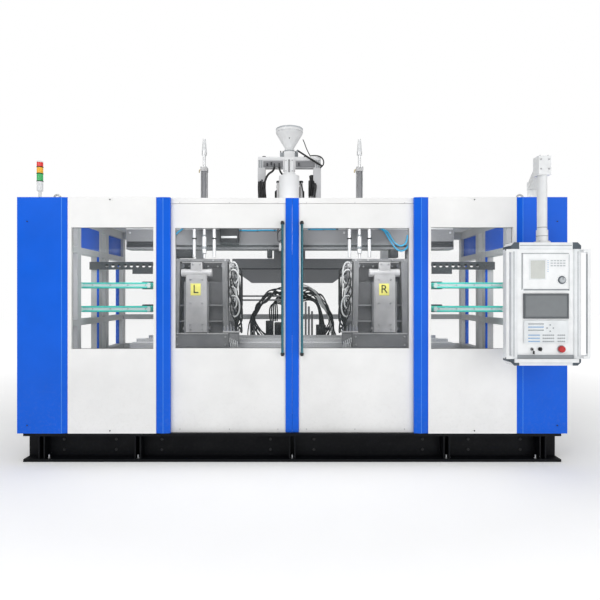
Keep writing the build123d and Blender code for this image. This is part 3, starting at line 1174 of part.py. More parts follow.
with BuildPart() as pendant_arm:
    turned = Plane((*ARM_JOINT, ARM_BOTTOM + ARM_HEIGHT / 2)).rotated((0, 0, ARM_ANGLE))
    with BuildSketch(turned.offset(-ARM_HEIGHT / 2)):
        with Locations((ARM_LENGTH / 2, 0)):
            Rectangle(ARM_LENGTH, ARM_WIDTH)
        Circle(ARM_COLUMN_RADIUS + ARM_FOOT_RIM)
    extrude(amount=ARM_HEIGHT)
    elbow_x = (HANGER_AXIS[0] - ELBOW / 2, HANGER_AXIS[0] + ELBOW / 2)
    elbow_y = (HANGER_AXIS[1] - ELBOW / 2, HANGER_AXIS[1] + ELBOW / 2)
    block(elbow_x, elbow_y, (ELBOW_BOTTOM, ELBOW_TOP))
    hole = JOURNAL_RADIUS + RUNNING_CLEARANCE
    upright(*ARM_JOINT, (ARM_BOTTOM, ARM_TOP), hole, mode=Mode.SUBTRACT)
    upright(*HANGER_AXIS, (ELBOW_BOTTOM, ELBOW_TOP - ELBOW_ROOF), hole, mode=Mode.SUBTRACT)
keep(pendant_arm, "pendant_arm")

with BuildPart() as pendant_hanger:
    upright(*HANGER_AXIS, (HANGER_COUPLING_TOP, ELBOW_BOTTOM - JOINT_GAP), HANGER_RADIUS)
    journal_top = ELBOW_TOP - ELBOW_ROOF - JOURNAL_END_GAP
    upright(*HANGER_AXIS, (ELBOW_BOTTOM - JOINT_GAP, journal_top), JOURNAL_RADIUS)
    flange_top = PENDANT_TOP + COUPLING_FLANGE
    upright(*HANGER_AXIS, (PENDANT_TOP, flange_top), COUPLING_FLANGE_RADIUS)
    upright(*HANGER_AXIS, (flange_top, HANGER_COUPLING_TOP), HANGER_RADIUS + COUPLING_RIM)
keep(pendant_hanger, "pendant_hanger")

# Pendant case: framed box with a controller above, a screen, keys and a ledge, and two side grips
with BuildPart() as pendant_case:
    case_x = (PENDANT_LEFT, PENDANT_RIGHT)
    block(case_x, (PENDANT_FRONT, PENDANT_BACK), (PENDANT_BOTTOM, PENDANT_TOP))
    chamfer(pendant_case.edges().filter_by(Axis.Y), PENDANT_FRAME)
    face_x = (PENDANT_LEFT + PENDANT_FRAME, PENDANT_RIGHT - PENDANT_FRAME)
    face_z = (PENDANT_BOTTOM + PENDANT_FRAME, PENDANT_TOP - PENDANT_FRAME)
    recess = (PENDANT_FRONT, PENDANT_FACE)
    block(face_x, recess, face_z, mode=Mode.SUBTRACT)
    proud = (PENDANT_FACE - PANEL_PROUD, PENDANT_FACE)
    block((face_x[0] + CONTROLLER_INSET, face_x[1] - CONTROLLER_INSET), proud, CONTROLLER_Z)
    block((face_x[0] + SCREEN_INSET, face_x[1] - SCREEN_INSET), proud, SCREEN_Z)
    block((face_x[0] + SCREEN_INSET, face_x[1] - SCREEN_INSET), proud, KEYS_Z)
    block(face_x, (PENDANT_FRONT - LEDGE, PENDANT_FACE), (face_z[0], face_z[0] + LEDGE_HEIGHT))
    for side, edge in ((-1, PENDANT_LEFT), (1, PENDANT_RIGHT)):
        outer = edge + side * GRIP_REACH
        grip = (outer - side * GRIP_WIDTH, outer)
        thick = (PENDANT_FRONT - GRIP_STAND - GRIP_WIDTH, PENDANT_FRONT - GRIP_STAND)
        grip_z = (PENDANT_BOTTOM + GRIP_INSET, PENDANT_TOP - GRIP_INSET)
        block(grip, thick, grip_z)
        for height in (grip_z[0], grip_z[1] - GRIP_WIDTH):
            ear_z = (height, height + GRIP_WIDTH)
            block((edge, outer), (thick[0], PENDANT_FRONT + GRIP_WIDTH), ear_z)
    stem = STOP_STEM_RADIUS + RUNNING_CLEARANCE
    drilled = (PENDANT_FACE, PENDANT_FACE + STEM_LENGTH + 2 * STOP_STROKE)
    level(STOP_X, drilled, BUTTON_Z, stem, mode=Mode.SUBTRACT)
    level(SELECTOR_X, drilled, BUTTON_Z, stem, mode=Mode.SUBTRACT)
keep(pendant_case, "pendant_case")

with BuildPart() as emergency_stop:
    head_back = PENDANT_FACE - STOP_STROKE - JOINT_GAP
    level(STOP_X, (head_back - STOP_HEAD, head_back), BUTTON_Z, STOP_RADIUS)
    fillet(emergency_stop.faces().sort_by(Axis.Y)[0].edges(), STOP_FILLET)
    level(STOP_X, (head_back, PENDANT_FACE + STEM_LENGTH), BUTTON_Z, STOP_STEM_RADIUS)
keep(emergency_stop, "emergency_stop")

with BuildPart() as mode_selector:
    knob_back = PENDANT_FACE - JOINT_GAP
    knob_front = knob_back - SELECTOR_BODY
    level(SELECTOR_X, (knob_front, knob_back), BUTTON_Z, SELECTOR_RADIUS)
    handle = (SELECTOR_X - SELECTOR_HANDLE / 2, SELECTOR_X + SELECTOR_HANDLE / 2)
    handle_z = (BUTTON_Z - SELECTOR_RADIUS, BUTTON_Z + SELECTOR_RADIUS)
    block(handle, (knob_front - SELECTOR_BODY, knob_front), handle_z)
    level(SELECTOR_X, (knob_back, PENDANT_FACE + STEM_LENGTH), BUTTON_Z, STOP_STEM_RADIUS)
keep(mode_selector, "mode_selector")

# Signal tower on the left of the roof
with BuildPart() as signal_tower:
    stem_bottom = CABINET_TOP + TOWER_FOOT
    body_bottom = stem_bottom + TOWER_STEM
    upright(TOWER_X, TOWER_Y, (CABINET_TOP, stem_bottom), TOWER_RADIUS + TOWER_FOOT_RIM)
    upright(TOWER_X, TOWER_Y, (stem_bottom, body_bottom), TOWER_RADIUS / 2)
    upright(TOWER_X, TOWER_Y, (body_bottom, TOWER_TOP), TOWER_RADIUS)
    for rise in TOWER_SEAM_RISES:
        seam = CABINET_TOP + rise
        ring = (seam - TOWER_SEAM / 2, seam + TOWER_SEAM / 2)
        upright(TOWER_X, TOWER_Y, ring, TOWER_RADIUS + TOWER_SEAM_RIM)
keep(signal_tower, "signal_tower")
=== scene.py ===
import json
from math import cos, pi, radians, sin

import bmesh
import bpy
from mathutils import Matrix, Vector


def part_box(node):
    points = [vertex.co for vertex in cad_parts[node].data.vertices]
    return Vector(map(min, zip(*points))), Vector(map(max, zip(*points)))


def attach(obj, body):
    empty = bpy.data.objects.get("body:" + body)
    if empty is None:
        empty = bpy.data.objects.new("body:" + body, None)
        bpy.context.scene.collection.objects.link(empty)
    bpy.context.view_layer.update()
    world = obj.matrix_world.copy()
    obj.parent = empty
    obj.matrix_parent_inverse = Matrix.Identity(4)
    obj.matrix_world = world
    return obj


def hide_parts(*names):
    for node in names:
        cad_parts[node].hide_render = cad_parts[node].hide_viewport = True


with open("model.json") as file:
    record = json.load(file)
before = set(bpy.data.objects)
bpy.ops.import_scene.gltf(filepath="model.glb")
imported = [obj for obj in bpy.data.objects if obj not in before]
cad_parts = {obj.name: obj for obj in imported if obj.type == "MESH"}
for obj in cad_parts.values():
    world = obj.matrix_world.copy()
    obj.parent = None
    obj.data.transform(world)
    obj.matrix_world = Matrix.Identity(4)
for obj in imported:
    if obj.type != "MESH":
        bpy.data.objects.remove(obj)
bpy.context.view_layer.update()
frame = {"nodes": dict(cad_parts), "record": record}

# Blow moulding machine, dressed. Metres, +X right along the front, +Y to the back, +Z up.

SIDES = {"left": -1, "right": 1}
CLAMP_CENTRES = {"left": -0.936, "right": 0.902}
BLOW_CENTRES = {"left": -0.97, "right": 0.742}
FRONT_FACE = -1.35
HEAD_X, HEAD_Y = -0.034, -0.3
DECK = 2.4195
EDGE = 0.0015
SMOOTH_ANGLE = radians(35)
FORWARD, BACKWARD, UP = (0, -1, 0), (0, 1, 0), (0, 0, 1)


# Selecting, copying and finishing
def let_go():
    """Leaves edit mode and deselects everything."""
    if bpy.context.object and bpy.context.object.mode != "OBJECT":
        bpy.ops.object.mode_set(mode="OBJECT")
    bpy.ops.object.select_all(action="DESELECT")


def take(*pieces):
    """Selects these pieces alone, the first one active."""
    let_go()
    for piece in pieces:
        piece.select_set(True)
    bpy.context.view_layer.objects.active = pieces[0]


def settle(piece):
    """Puts the piece's place, turn and size into its mesh."""
    take(piece)
    bpy.ops.object.transform_apply(location=True, rotation=True, scale=True)
    return piece


def edit(piece, kind="FACE"):
    """Opens a piece for editing with nothing selected."""
    take(piece)
    bpy.ops.object.mode_set(mode="EDIT")
    bpy.ops.mesh.select_mode(type=kind)
    bpy.ops.mesh.select_all(action="DESELECT")


def pick_faces(piece, test):
    """Selects the faces of the open piece whose middle and normal pass the test."""
    mesh = bmesh.from_edit_mesh(piece.data)
    for face in mesh.faces:
        face.select_set(test(face.calc_center_median(), face.normal))
    bmesh.update_edit_mesh(piece.data)


def pick_edges(piece, test):
    """Selects the edges of the open piece whose two ends pass the test."""
    mesh = bmesh.from_edit_mesh(piece.data)
    for edge in mesh.edges:
        edge.select_set(test(edge.verts[0].co, edge.verts[1].co))
    bmesh.update_edit_mesh(piece.data)


def close_edit():
    bpy.ops.object.mode_set(mode="OBJECT")


def join(pieces):
    """Joins pieces into the first of them."""
    if len(pieces) > 1:
        take(*pieces)
        bpy.ops.object.join()
    return pieces[0]


def twins(piece, moves):
    """Copies a piece by each matrix, each copy with its own mesh."""
    made = []
    for move in moves:
        twin = piece.copy()
        twin.data = piece.data.copy()
        twin.data.transform(move)
        bpy.context.scene.collection.objects.link(twin)
        made.append(twin)
    return made


def copy_to(piece, moves):
    """Copies a piece by each move."""
    return twins(piece, [Matrix.Translation(Vector(move)) for move in moves])


def turn_copies(piece, centre, axis, angles):
    """Copies a piece by each turn about an axis through a point."""
    here = Matrix.Translation(Vector(centre))
    return twins(piece, [here @ Matrix.Rotation(angle, 4, axis) @ here.inverted() for angle in angles])


def repeat(piece, places, start=(0, 0, 0)):
    """Copies a piece made at the start place to every place, and removes the first."""
    made = copy_to(piece, [Vector(place) - Vector(start) for place in places])
    let_go()
    bpy.data.objects.remove(piece)
    return made


def circle_of_places(centre, radius, count, first):
    """Places spread evenly round a level circle."""
    x, y, z = centre
    turns = [first + 2 * pi * step / count for step in range(count)]
    return [(x + radius * cos(turn), y + radius * sin(turn), z) for turn in turns]


def finish(pieces, name, look, body="machine", stands_for=()):
    """Joins, names, shades and paints pieces, and fixes them to a body of the machine."""
    piece = join(list(pieces) if isinstance(pieces, (list, tuple)) else [pieces])
    settle(piece)
    piece.name = name
    piece.data.name = name
    bpy.ops.object.shade_smooth_by_angle(angle=SMOOTH_ANGLE)
    material, slot = LOOKS[look]
    piece.data.materials.clear()
    piece.data.materials.append(material)
    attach(piece, body)
    if stands_for:
        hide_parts(*stands_for)
    return piece


# Shapes with broken edges, and small parts made from them
def bar(low, high, edge=EDGE, steps=2):
    """A block between two corners with all its edges rounded."""
    middle = [(a + b) / 2 for a, b in zip(low, high)]
    size = [abs(b - a) for a, b in zip(low, high)]
    let_go()
    bpy.ops.mesh.primitive_cube_add(size=1, location=middle, scale=size)
    piece = settle(bpy.context.object)
    edit(piece)
    bpy.ops.mesh.select_all(action="SELECT")
    bpy.ops.mesh.bevel(offset=min(edge, 0.4 * min(size)), segments=steps, affect="EDGES")
    close_edit()
    return piece


def mirrored_bar(side, low, high, edge=EDGE, steps=2):
    """A block given for the right side, put on either side."""
    return bar((side * low[0], *low[1:]), (side * high[0], *high[1:]), edge, steps)


def rod(start, end, radius, sides=24, edge=EDGE):
    """A round bar between two points with its end rims broken."""
    start, end = Vector(start), Vector(end)
    line = end - start
    turn = line.to_track_quat("Z", "Y").to_euler()
    let_go()
    bpy.ops.mesh.primitive_cylinder_add(
        vertices=sides, radius=radius, depth=line.length, location=(start + end) / 2, rotation=turn
    )
    piece = bpy.context.object
    take(piece)
    bpy.ops.object.transform_apply(location=False, rotation=False, scale=True)
    edit(piece)
    pick_faces(piece, lambda middle, normal: abs(normal.z) > 0.9)
    bpy.ops.mesh.bevel(offset=min(edge, 0.3 * radius, 0.3 * line.length), segments=1, affect="EDGES")
    close_edit()
    return settle(piece)


def turned(profile, centre, axis="Z", steps=32):
    """A shape turned on a lathe: (radius, height) points spun about an axis through a point."""
    mesh = bpy.data.meshes.new("turned")
    lines = [(n, n + 1) for n in range(len(profile) - 1)]
    mesh.from_pydata([(radius, 0, height) for radius, height in profile], lines, [])
    piece = bpy.data.objects.new("turned", mesh)
    bpy.context.scene.collection.objects.link(piece)
    edit(piece, "VERT")
    bpy.ops.mesh.select_all(action="SELECT")
    bpy.ops.mesh.spin(steps=steps, angle=2 * pi, center=(0, 0, 0), axis=UP)
    bpy.ops.mesh.select_all(action="SELECT")
    bpy.ops.mesh.remove_doubles(threshold=1e-5)
    bpy.ops.mesh.normals_make_consistent(inside=False)
    close_edit()
    turns = {"Z": (0, 0, 0), "Y": (-pi / 2, 0, 0), "X": (0, pi / 2, 0), "-Y": (pi / 2, 0, 0)}
    piece.rotation_euler = turns[axis]
    piece.location = centre
    return settle(piece)


def band(inner, outer, height, cut, centre, steps=40):
    """A thin standing ring with both rims cut back."""
    profile = [(inner, 0), (outer, cut), (outer, height - cut), (inner, height)]
    return turned(profile, centre, "Z", steps)


def collar(inner, outer, height, across, along, centre, steps):
    """A standing ring with flat ends and a chamfer at both rims."""
    flat = outer - across
    rim = [(flat, 0), (outer, along), (outer, height - along), (flat, height)]
    return turned([(inner, 0), *rim, (inner, height)], centre, "Z", steps)


def pipe(points, radius, sides=8):
    """A pipe or hose along a smooth line through its control points."""
    curve = bpy.data.curves.new("pipe", "CURVE")
    curve.dimensions = "3D"
    curve.bevel_depth = radius
    curve.bevel_resolution = max(0, sides // 2 - 2)
    curve.resolution_u = 6
    curve.use_fill_caps = True
    line = curve.splines.new("NURBS")
    line.points.add(len(points) - 1)
    for place, point in zip(line.points, points):
        place.co = (*point, 1)
    line.order_u = 3
    line.use_endpoint_u = True
    piece = bpy.data.objects.new("pipe", curve)
    bpy.context.scene.collection.objects.link(piece)
    take(piece)
    bpy.ops.object.convert(target="MESH")
    return bpy.context.object


def bolt(place, facing, size):
    """A hexagon bolt head with a chamfered top on its washer."""
    place, facing = Vector(place), Vector(facing).normalized()
    seat = place + facing * size * 0.16
    washer = rod(place, seat, size * 1.05, sides=20, edge=size * 0.05)
    head = rod(seat, seat + facing * size * 0.62, size * 0.88, sides=6, edge=size * 0.12)
    return join([washer, head])


def socket_screw(place, facing, size):
    """A round socket screw head with a hexagon recess."""
    place, facing = Vector(place), Vector(facing).normalized()
    top = place + facing * size * 0.9
    head = rod(place, top, size * 0.75, sides=18, edge=size * 0.12)
    edit(head)
    pick_faces(head, lambda middle, normal: normal.dot(facing) > 0.9 and (middle - top).length < size * 0.2)
    bpy.ops.mesh.inset(thickness=size * 0.3, depth=0)
    bpy.ops.mesh.inset(thickness=size * 0.02, depth=-size * 0.4)
    close_edit()
    return head


def bolts(places, facing, size):
    """Hexagon bolts at several places."""
    return repeat(bolt(places[0], facing, size), places, places[0])


def screws(places, facing, size):
    """Socket screws at several places."""
    return repeat(socket_screw(places[0], facing, size), places, places[0])


def elbow(place, facing, drop, size):
    """A hose elbow: a nut on the face, a bend and a ferrule that points down or up."""
    place, facing = Vector(place), Vector(facing).normalized()
    nut = rod(place, place + facing * size * 0.8, size * 0.75, sides=6, edge=size * 0.08)
    turn = place + facing * size * 1.7
    end = turn + Vector((0, 0, drop))
    bend = pipe([place + facing * size * 0.6, turn, turn, end], size * 0.42)
    ferrule = rod(end - Vector((0, 0, drop * 0.55)), end, size * 0.58, sides=14, edge=size * 0.1)
    return join([nut, bend, ferrule])


def sink_front(piece, *insets):
    """Insets the face that looks to the front, by each width and depth."""
    edit(piece)
    pick_faces(piece, lambda middle, normal: normal.y < -0.9)
    for width, depth in insets:
        bpy.ops.mesh.inset(thickness=width, depth=depth)
    close_edit()
    return piece


def letters(words, middle, height, thick):
    """Flat lettering that stands proud of a face turned to the front."""
    let_go()
    bpy.ops.object.text_add()
    text = bpy.context.object
    text.data.body = words
    text.data.align_x = "CENTER"
    text.data.align_y = "CENTER"
    text.data.size = height
    text.data.extrude = thick / 2
    text.data.resolution_u = 3
    take(text)
    bpy.ops.object.convert(target="MESH")
    piece = bpy.context.object
    piece.rotation_euler = (pi / 2, 0, 0)
    piece.location = middle
    return piece


# Finishes
def srgb(red, green, blue):
    """A colour from 0 to 255 as the shader takes it."""
    def linear(value):
        value /= 255
        return value / 12.92 if value <= 0.04045 else ((value + 0.055) / 1.055) ** 2.4
    return (linear(red), linear(green), linear(blue), 1.0)


def node(tree, kind, **sockets):
    """Adds a node and sets its sockets by name."""
    made = tree.nodes.new(kind)
    for name, value in sockets.items():
        made.inputs[name.replace("_", " ")].default_value = value
    return made


def feed(target, **outputs):
    """Links outputs to a node's sockets by name."""
    for name, output in outputs.items():
        target.id_data.links.new(output, target.inputs[name.replace("_", " ")])


def new_look(name, **sockets):
    """A material with its sockets set, its shader and its object coordinates."""
    material = bpy.data.materials.new(name)
    material.use_nodes = True
    tree = material.node_tree
    shader = tree.nodes["Principled BSDF"]
    for socket, value in sockets.items():
        shader.inputs[socket.replace("_", " ")].default_value = value
    return material, shader, tree.nodes.new("ShaderNodeTexCoord").outputs["Object"]


def stretched(where, scale):
    """Object coordinates scaled along each axis."""
    mapping = node(where.id_data, "ShaderNodeMapping", Scale=scale)
    feed(mapping, Vector=where)
    return mapping.outputs["Vector"]


def cloud(where, scale, detail=3.0, roughness=0.55):
    """Noise between 0 and 1."""
    noise = node(where.id_data, "ShaderNodeTexNoise", Scale=scale, Detail=detail, Roughness=roughness)
    feed(noise, Vector=where)
    return noise.outputs["Fac"]


def ribs(where, scale, direction):
    """Even ribs along one axis."""
    wave = node(where.id_data, "ShaderNodeTexWave", Scale=scale, Distortion=0.0)
    wave.bands_direction = direction
    feed(wave, Vector=where)
    return wave.outputs["Fac"]


def between(factor, low, high, start=0.3, end=0.7):
    """A value that runs from low to high as the factor runs from start to end."""
    ranged = node(factor.id_data, "ShaderNodeMapRange", From_Min=start, From_Max=end, To_Min=low, To_Max=high)
    feed(ranged, Value=factor)
    return ranged.outputs["Result"]


def blended(factor, first, second):
    """Two colours, or colour outputs, mixed by a factor."""
    mix = factor.id_data.nodes.new("ShaderNodeMix")
    mix.data_type = "RGBA"
    feed(mix, Factor=factor)
    for socket, value in ((mix.inputs[6], first), (mix.inputs[7], second)):
        if isinstance(value, tuple):
            socket.default_value = value
        else:
            factor.id_data.links.new(value, socket)
    return mix.outputs[2]


def bumped(shader, height, strength, distance):
    """Sends a height to the shader's normal."""
    bump = node(shader.id_data, "ShaderNodeBump", Strength=strength, Distance=distance)
    feed(bump, Height=height)
    feed(shader, Normal=bump.outputs["Normal"])


def darker(colour, share):
    return tuple(part * share for part in colour[:3]) + (1.0,)


def painted(
    name, colour, low_rough, high_rough, grain=420.0, relief=0.12, soil=0.9, coat=0.0, shine=0.5, dust=0.2
):
    """Sprayed paint: faint orange peel, uneven gloss and a little soil low down."""
    material, shader, where = new_look(name, Coat_Weight=coat, Coat_Roughness=0.12, Specular_IOR_Level=shine)
    tree = where.id_data
    tone = blended(between(cloud(where, 2.2, 6.0), 0.0, 1.0), colour, darker(colour, soil))
    height = tree.nodes.new("ShaderNodeSeparateXYZ")
    feed(height, Vector=where)
    near_floor = between(height.outputs["Z"], 1.0, 0.0, 0.0, 0.9)
    speckle = between(cloud(where, 34.0, 8.0, 0.7), 0.0, dust, 0.5, 0.8)
    settled = tree.nodes.new("ShaderNodeMath")
    settled.operation = "MULTIPLY"
    tree.links.new(near_floor, settled.inputs[0])
    tree.links.new(speckle, settled.inputs[1])
    dusty = blended(settled.outputs["Value"], tone, srgb(150, 148, 144))
    feed(shader, Base_Color=dusty, Roughness=between(cloud(where, 7.0, 5.0), low_rough, high_rough))
    bumped(shader, cloud(where, grain, 2.0), relief, 0.0006)
    return material


def machined(name, colour, low_rough, high_rough, stretch, relief=0.08, tarnish=0.75, metal=1.0):
    """Bare or plated metal with fine tool lines along one direction."""
    material, shader, where = new_look(name, Metallic=metal)
    lines = cloud(stretched(where, stretch), 1.0, 4.0, 0.7)
    stains = between(cloud(where, 5.0, 6.0), 0.0, 1.0)
    low, high = (low_rough,) * 3 + (1,), (high_rough,) * 3 + (1,)
    gloss = blended(between(lines, 0.0, 1.0), low, high)
    feed(shader, Base_Color=blended(stains, colour, darker(colour, tarnish)), Roughness=gloss)
    bumped(shader, lines, relief, 0.0004)
    return material


def cast(name, colour, pocked):
    """Painted casting: coarse skin, chips of darker metal and oily patches."""
    material, shader, where = new_look(name, Metallic=0.25)
    patches = cloud(where, 4.0, 7.0)
    tone = blended(between(patches, 0.0, 1.0, 0.35, 0.7), colour, darker(colour, 0.72))
    chips = between(cloud(where, 26.0, 10.0, 0.75), 0.0, 0.8, 0.66, 0.72)
    feed(shader, Base_Color=blended(chips, tone, darker(colour, 0.4)), Roughness=between(patches, 0.42, 0.6))
    bumped(shader, cloud(where, 150.0, 8.0, 0.65), pocked, 0.001)
    return material


def moulded(name, colour, rough, grain=900.0, relief=0.15):
    """Moulded plastic or rubber with a fine spark-eroded grain."""
    material, shader, where = new_look(name)
    patches = cloud(where, 12.0, 4.0)
    tone = blended(between(patches, 0.0, 1.0), colour, darker(colour, 0.9))
    feed(shader, Base_Color=tone, Roughness=between(patches, rough - 0.06, rough + 0.08))
    bumped(shader, cloud(where, grain, 2.0), relief, 0.0004)
    return material


def ribbed_belt(name, colour):
    """Conveyor belt: cross ribs every 6 mm and scuffed tops."""
    material, shader, where = new_look(name)
    scuffs = cloud(stretched(where, (3, 60, 60)), 1.0, 6.0)
    tone = blended(between(scuffs, 0.0, 1.0), colour, darker(colour, 0.7))
    feed(shader, Base_Color=tone, Roughness=between(scuffs, 0.45, 0.7))
    bumped(shader, ribs(where, 52.0, "X"), 0.4, 0.001)
    return material


def clear_pane(name):
    """Clear sheet: nearly all light goes through, with faint wiping marks in its gloss."""
    material, shader, where = new_look(name, Base_Color=srgb(150, 160, 162), Alpha=0.035, IOR=1.49)
    wipes = cloud(stretched(where, (3, 3, 1)), 2.0, 5.0)
    feed(shader, Roughness=between(wipes, 0.02, 0.07))
    return material


def lamp(name, colour, strength):
    """A ribbed lens over a lamp, ribs running round it."""
    material, shader, where = new_look(
        name, Subsurface_Weight=0.2, IOR=1.5, Coat_Weight=0.4, Roughness=0.22,
        Emission_Color=colour, Emission_Strength=strength
    )
    rings = ribs(where, 90.0, "Z")
    feed(shader, Base_Color=blended(between(rings, 0.0, 1.0, 0.0, 1.0), darker(colour, 0.75), colour))
    bumped(shader, rings, 0.3, 0.001)
    return material


def make_finishes():
    """Every finish under the slot that it belongs to, each slot's usual one first."""
    return {
        "blue_paint": {
            "blue": painted(
                "blue_enamel", srgb(5, 97, 224), 0.3, 0.44, 300, 0.08, 0.88, coat=0.04, shine=0.18
            ),
            # A lighter blue for the lines down the sheet folds: a painted highlight.
            "fold_highlight": painted("blue_fold_highlight", srgb(70, 142, 240), 0.3, 0.44, 300, coat=0.04, shine=0.25),
        },
        "white_paint": {
            "white": painted("white_powder", srgb(243, 243, 242), 0.38, 0.52, 700),
            "cover": painted("cover_white", srgb(232, 233, 234), 0.4, 0.55, 700),
        },
        "black_steel": {
            "black": painted("black_enamel", srgb(5, 7, 12), 0.45, 0.65, 260, shine=0.18, dust=0.03),
        },
        "grey_paint": {
            "grey": painted("grey_enamel", srgb(200, 201, 203), 0.42, 0.6, 340),
            "beam": painted("beam_enamel", srgb(132, 133, 136), 0.45, 0.62, 340, shine=0.3),
        },
        "dark_grey_paint": {
            "dark": painted("dark_enamel", srgb(52, 54, 57), 0.45, 0.62, 340, shine=0.3),
            "tray": painted("dark_tray", srgb(92, 94, 97), 0.5, 0.7, 340, shine=0.25),
        },
        "clear_sheet": {"pane": clear_pane("clear_sheet")},
        "rail_steel": {"rail": machined("ground_rail", srgb(186, 188, 190), 0.2, 0.34, (900, 6, 6))},
        "chrome_bar": {
            "chrome": machined("chromed_bar", srgb(222, 224, 228), 0.05, 0.14, (60, 60, 700), 0.03, 0.92),
            # Paler and less metallic than the chrome, so that rods deep inside, where little bright is
            # mirrored, still look bright: a painted reflection.
            "rod_painted_reflection": machined(
                "painted_reflection_rod", srgb(236, 237, 238), 0.24, 0.36, (60, 60, 500), 0.03, 0.94, 0.45
            ),
        },
        "bright_steel": {
            "steel": machined("bright_steel", srgb(196, 197, 199), 0.22, 0.42, (300, 300, 12)),
            "brushed": machined("brushed_sheet", srgb(214, 214, 216), 0.3, 0.5, (14, 14, 500), 0.05, 0.9),
            "teal_steel": machined("teal_bar", srgb(74, 122, 134), 0.2, 0.36, (200, 200, 20), 0.04, 0.8),
            "bronze": machined("heated_steel", srgb(128, 118, 108), 0.35, 0.55, (60, 60, 60), 0.1, 0.6),
            "brass": machined("brass", srgb(206, 186, 130), 0.25, 0.4, (200, 200, 20), 0.04, 0.85, 0.6),
        },
        "cast_iron": {
            "casting": cast("casting", srgb(146, 147, 149), 0.35),
            "casting_mid": cast("mid_casting", srgb(198, 198, 199), 0.3),
            "casting_pale": cast("pale_casting", srgb(214, 214, 215), 0.3),
            # A darker copy of the casting for parts deep inside the machine, darkened partly as painted
            # shade.
            "casting_shaded_dark": cast("shaded_dark_casting", srgb(120, 121, 124), 0.4),
        },
        "aluminium": {
            "aluminium": machined(
                "drawn_aluminium", srgb(214, 216, 219), 0.25, 0.4, (500, 500, 5), 0.06, 0.9
            ),
            "arm_paint": moulded("arm_lacquer", srgb(226, 228, 229), 0.36, 900, 0.06),
            "cylinder": painted("cylinder_grey", srgb(134, 135, 138), 0.4, 0.56, 300, shine=0.3),
            "belt_side": painted("belt_side", srgb(226, 246, 242), 0.4, 0.55, 500),
        },
        "belt_green": {"belt": ribbed_belt("green_belt", srgb(84, 250, 230))},
        "hose_rubber": {
            "hose": moulded("black_hose", srgb(20, 21, 23), 0.48, 1200),
            "pale_hose": moulded("pale_hose", srgb(206, 208, 208), 0.4, 1200, 0.06),
            "cyan": moulded("blue_air_line", srgb(20, 158, 206), 0.3, 1400, 0.05),
        },
        "light_grey_plastic": {
            "pale_plastic": moulded("pale_plastic", srgb(232, 234, 235), 0.42),
            "frame_plastic": moulded("frame_plastic", srgb(232, 235, 237), 0.42),
            # A mid grey: painted shade for the profile grooves, the outline round the controller and the gaps
            # beside the grips, and the plain grey of seams, rings and straps.
            "groove_shade_and_seam_grey": moulded("groove_shade_and_seam_grey", srgb(150, 156, 160), 0.5),
            # A mid grey: the painted shadow under the pendant's ledge, and the plain grey of the feeder
            # blocks and bracket.
            "ledge_shadow_and_block_grey": moulded("ledge_shadow_and_block_grey", srgb(152, 157, 161), 0.5),
            "dial_grey": moulded("dial_grey", srgb(186, 191, 195), 0.4, 1500, 0.06),
            "key_grey": moulded("grey_key", srgb(128, 134, 139), 0.4, 1500, 0.06),
            "key_sheet": moulded("key_sheet", srgb(226, 230, 232), 0.34, 1500, 0.04),
            "screen_frame": moulded("screen_frame", srgb(84, 89, 93), 0.32, 900, 0.05),
            "screen_pale": moulded("pale_screen", srgb(198, 201, 196), 0.14, 400, 0.01),
            "corner_plastic": moulded("corner_plastic", srgb(66, 78, 88), 0.45),
            "panel_plastic": moulded("panel_plastic", srgb(240, 242, 243), 0.36, 1500, 0.06),
            "yellow": moulded("yellow_plate", srgb(252, 246, 132), 0.35, 900, 0.06),
            "key_blue": moulded("blue_key", srgb(78, 152, 208), 0.4, 1500, 0.06),
        },
        "red_plastic": {"red": moulded("red_plastic", srgb(186, 20, 24), 0.3, 1200, 0.05)},
        "black_plastic": {
            "black_plastic": moulded("black_plastic", srgb(20, 21, 23), 0.38),
            "sign_black": moulded("sign_ink", srgb(18, 36, 28), 0.5, 900, 0.03),
            "screen": moulded("screen_glass", srgb(112, 117, 120), 0.1, 400, 0.01),
        },
        "lamp_plastic": {
            "lamp_amber": lamp("amber_lens", srgb(240, 178, 40), 0.15),
            "lamp_red": lamp("red_lens", srgb(224, 52, 50), 0.15),
            "lamp_green": lamp("green_lens", srgb(60, 176, 98), 0.15),
        },
    }


FINISHES = make_finishes()
LOOKS = {look: (material, slot) for slot, made in FINISHES.items() for look, material in made.items()}

# Solids that differ from their slot's usual finish, and the rounding of folded and welded ones
NODE_LOOKS = {
    "cable_trays": "tray", "carrier_beam": "beam", "extruder_platform": "beam", "hopper": "cover",
    "die_head": "cover", "extruder_barrel": "bronze", "extruder_drive": "dark", "bed_rails": "rod_painted_reflection",
    "conveyor_frames": "belt_side", "pendant_arm": "arm_paint", "pendant_hanger": "arm_paint",
    # The platens, yoke and carriage take the darker casting, darkened partly as painted shade for parts deep
    # inside.
    "front_platen": "casting_shaded_dark", "rear_platen": "casting_shaded_dark", "rear_yoke": "casting_shaded_dark",
    "carriage": "casting_shaded_dark", "blow_pin": "rod_painted_reflection", "blow_cylinder": "cylinder",
    "manifold": "casting",
}
ROUNDING = {
    "base_beams": 0.004, "cabinet_posts": 0.004, "cabinet_rails": 0.004, "bed": 0.004, "carrier_beam": 0.004,
    "extruder_platform": 0.004, "feed_bridge": 0.003, "pendant_arm": 0.003, "clamp_frame": 0.003,
    "carriage": 0.003, "rear_yoke": 0.003, "corner_panels": 0.002, "door_posts": 0.002, "end_panels": 0.002,
    "front_panels": 0.0016, "door": 0.0016,
}


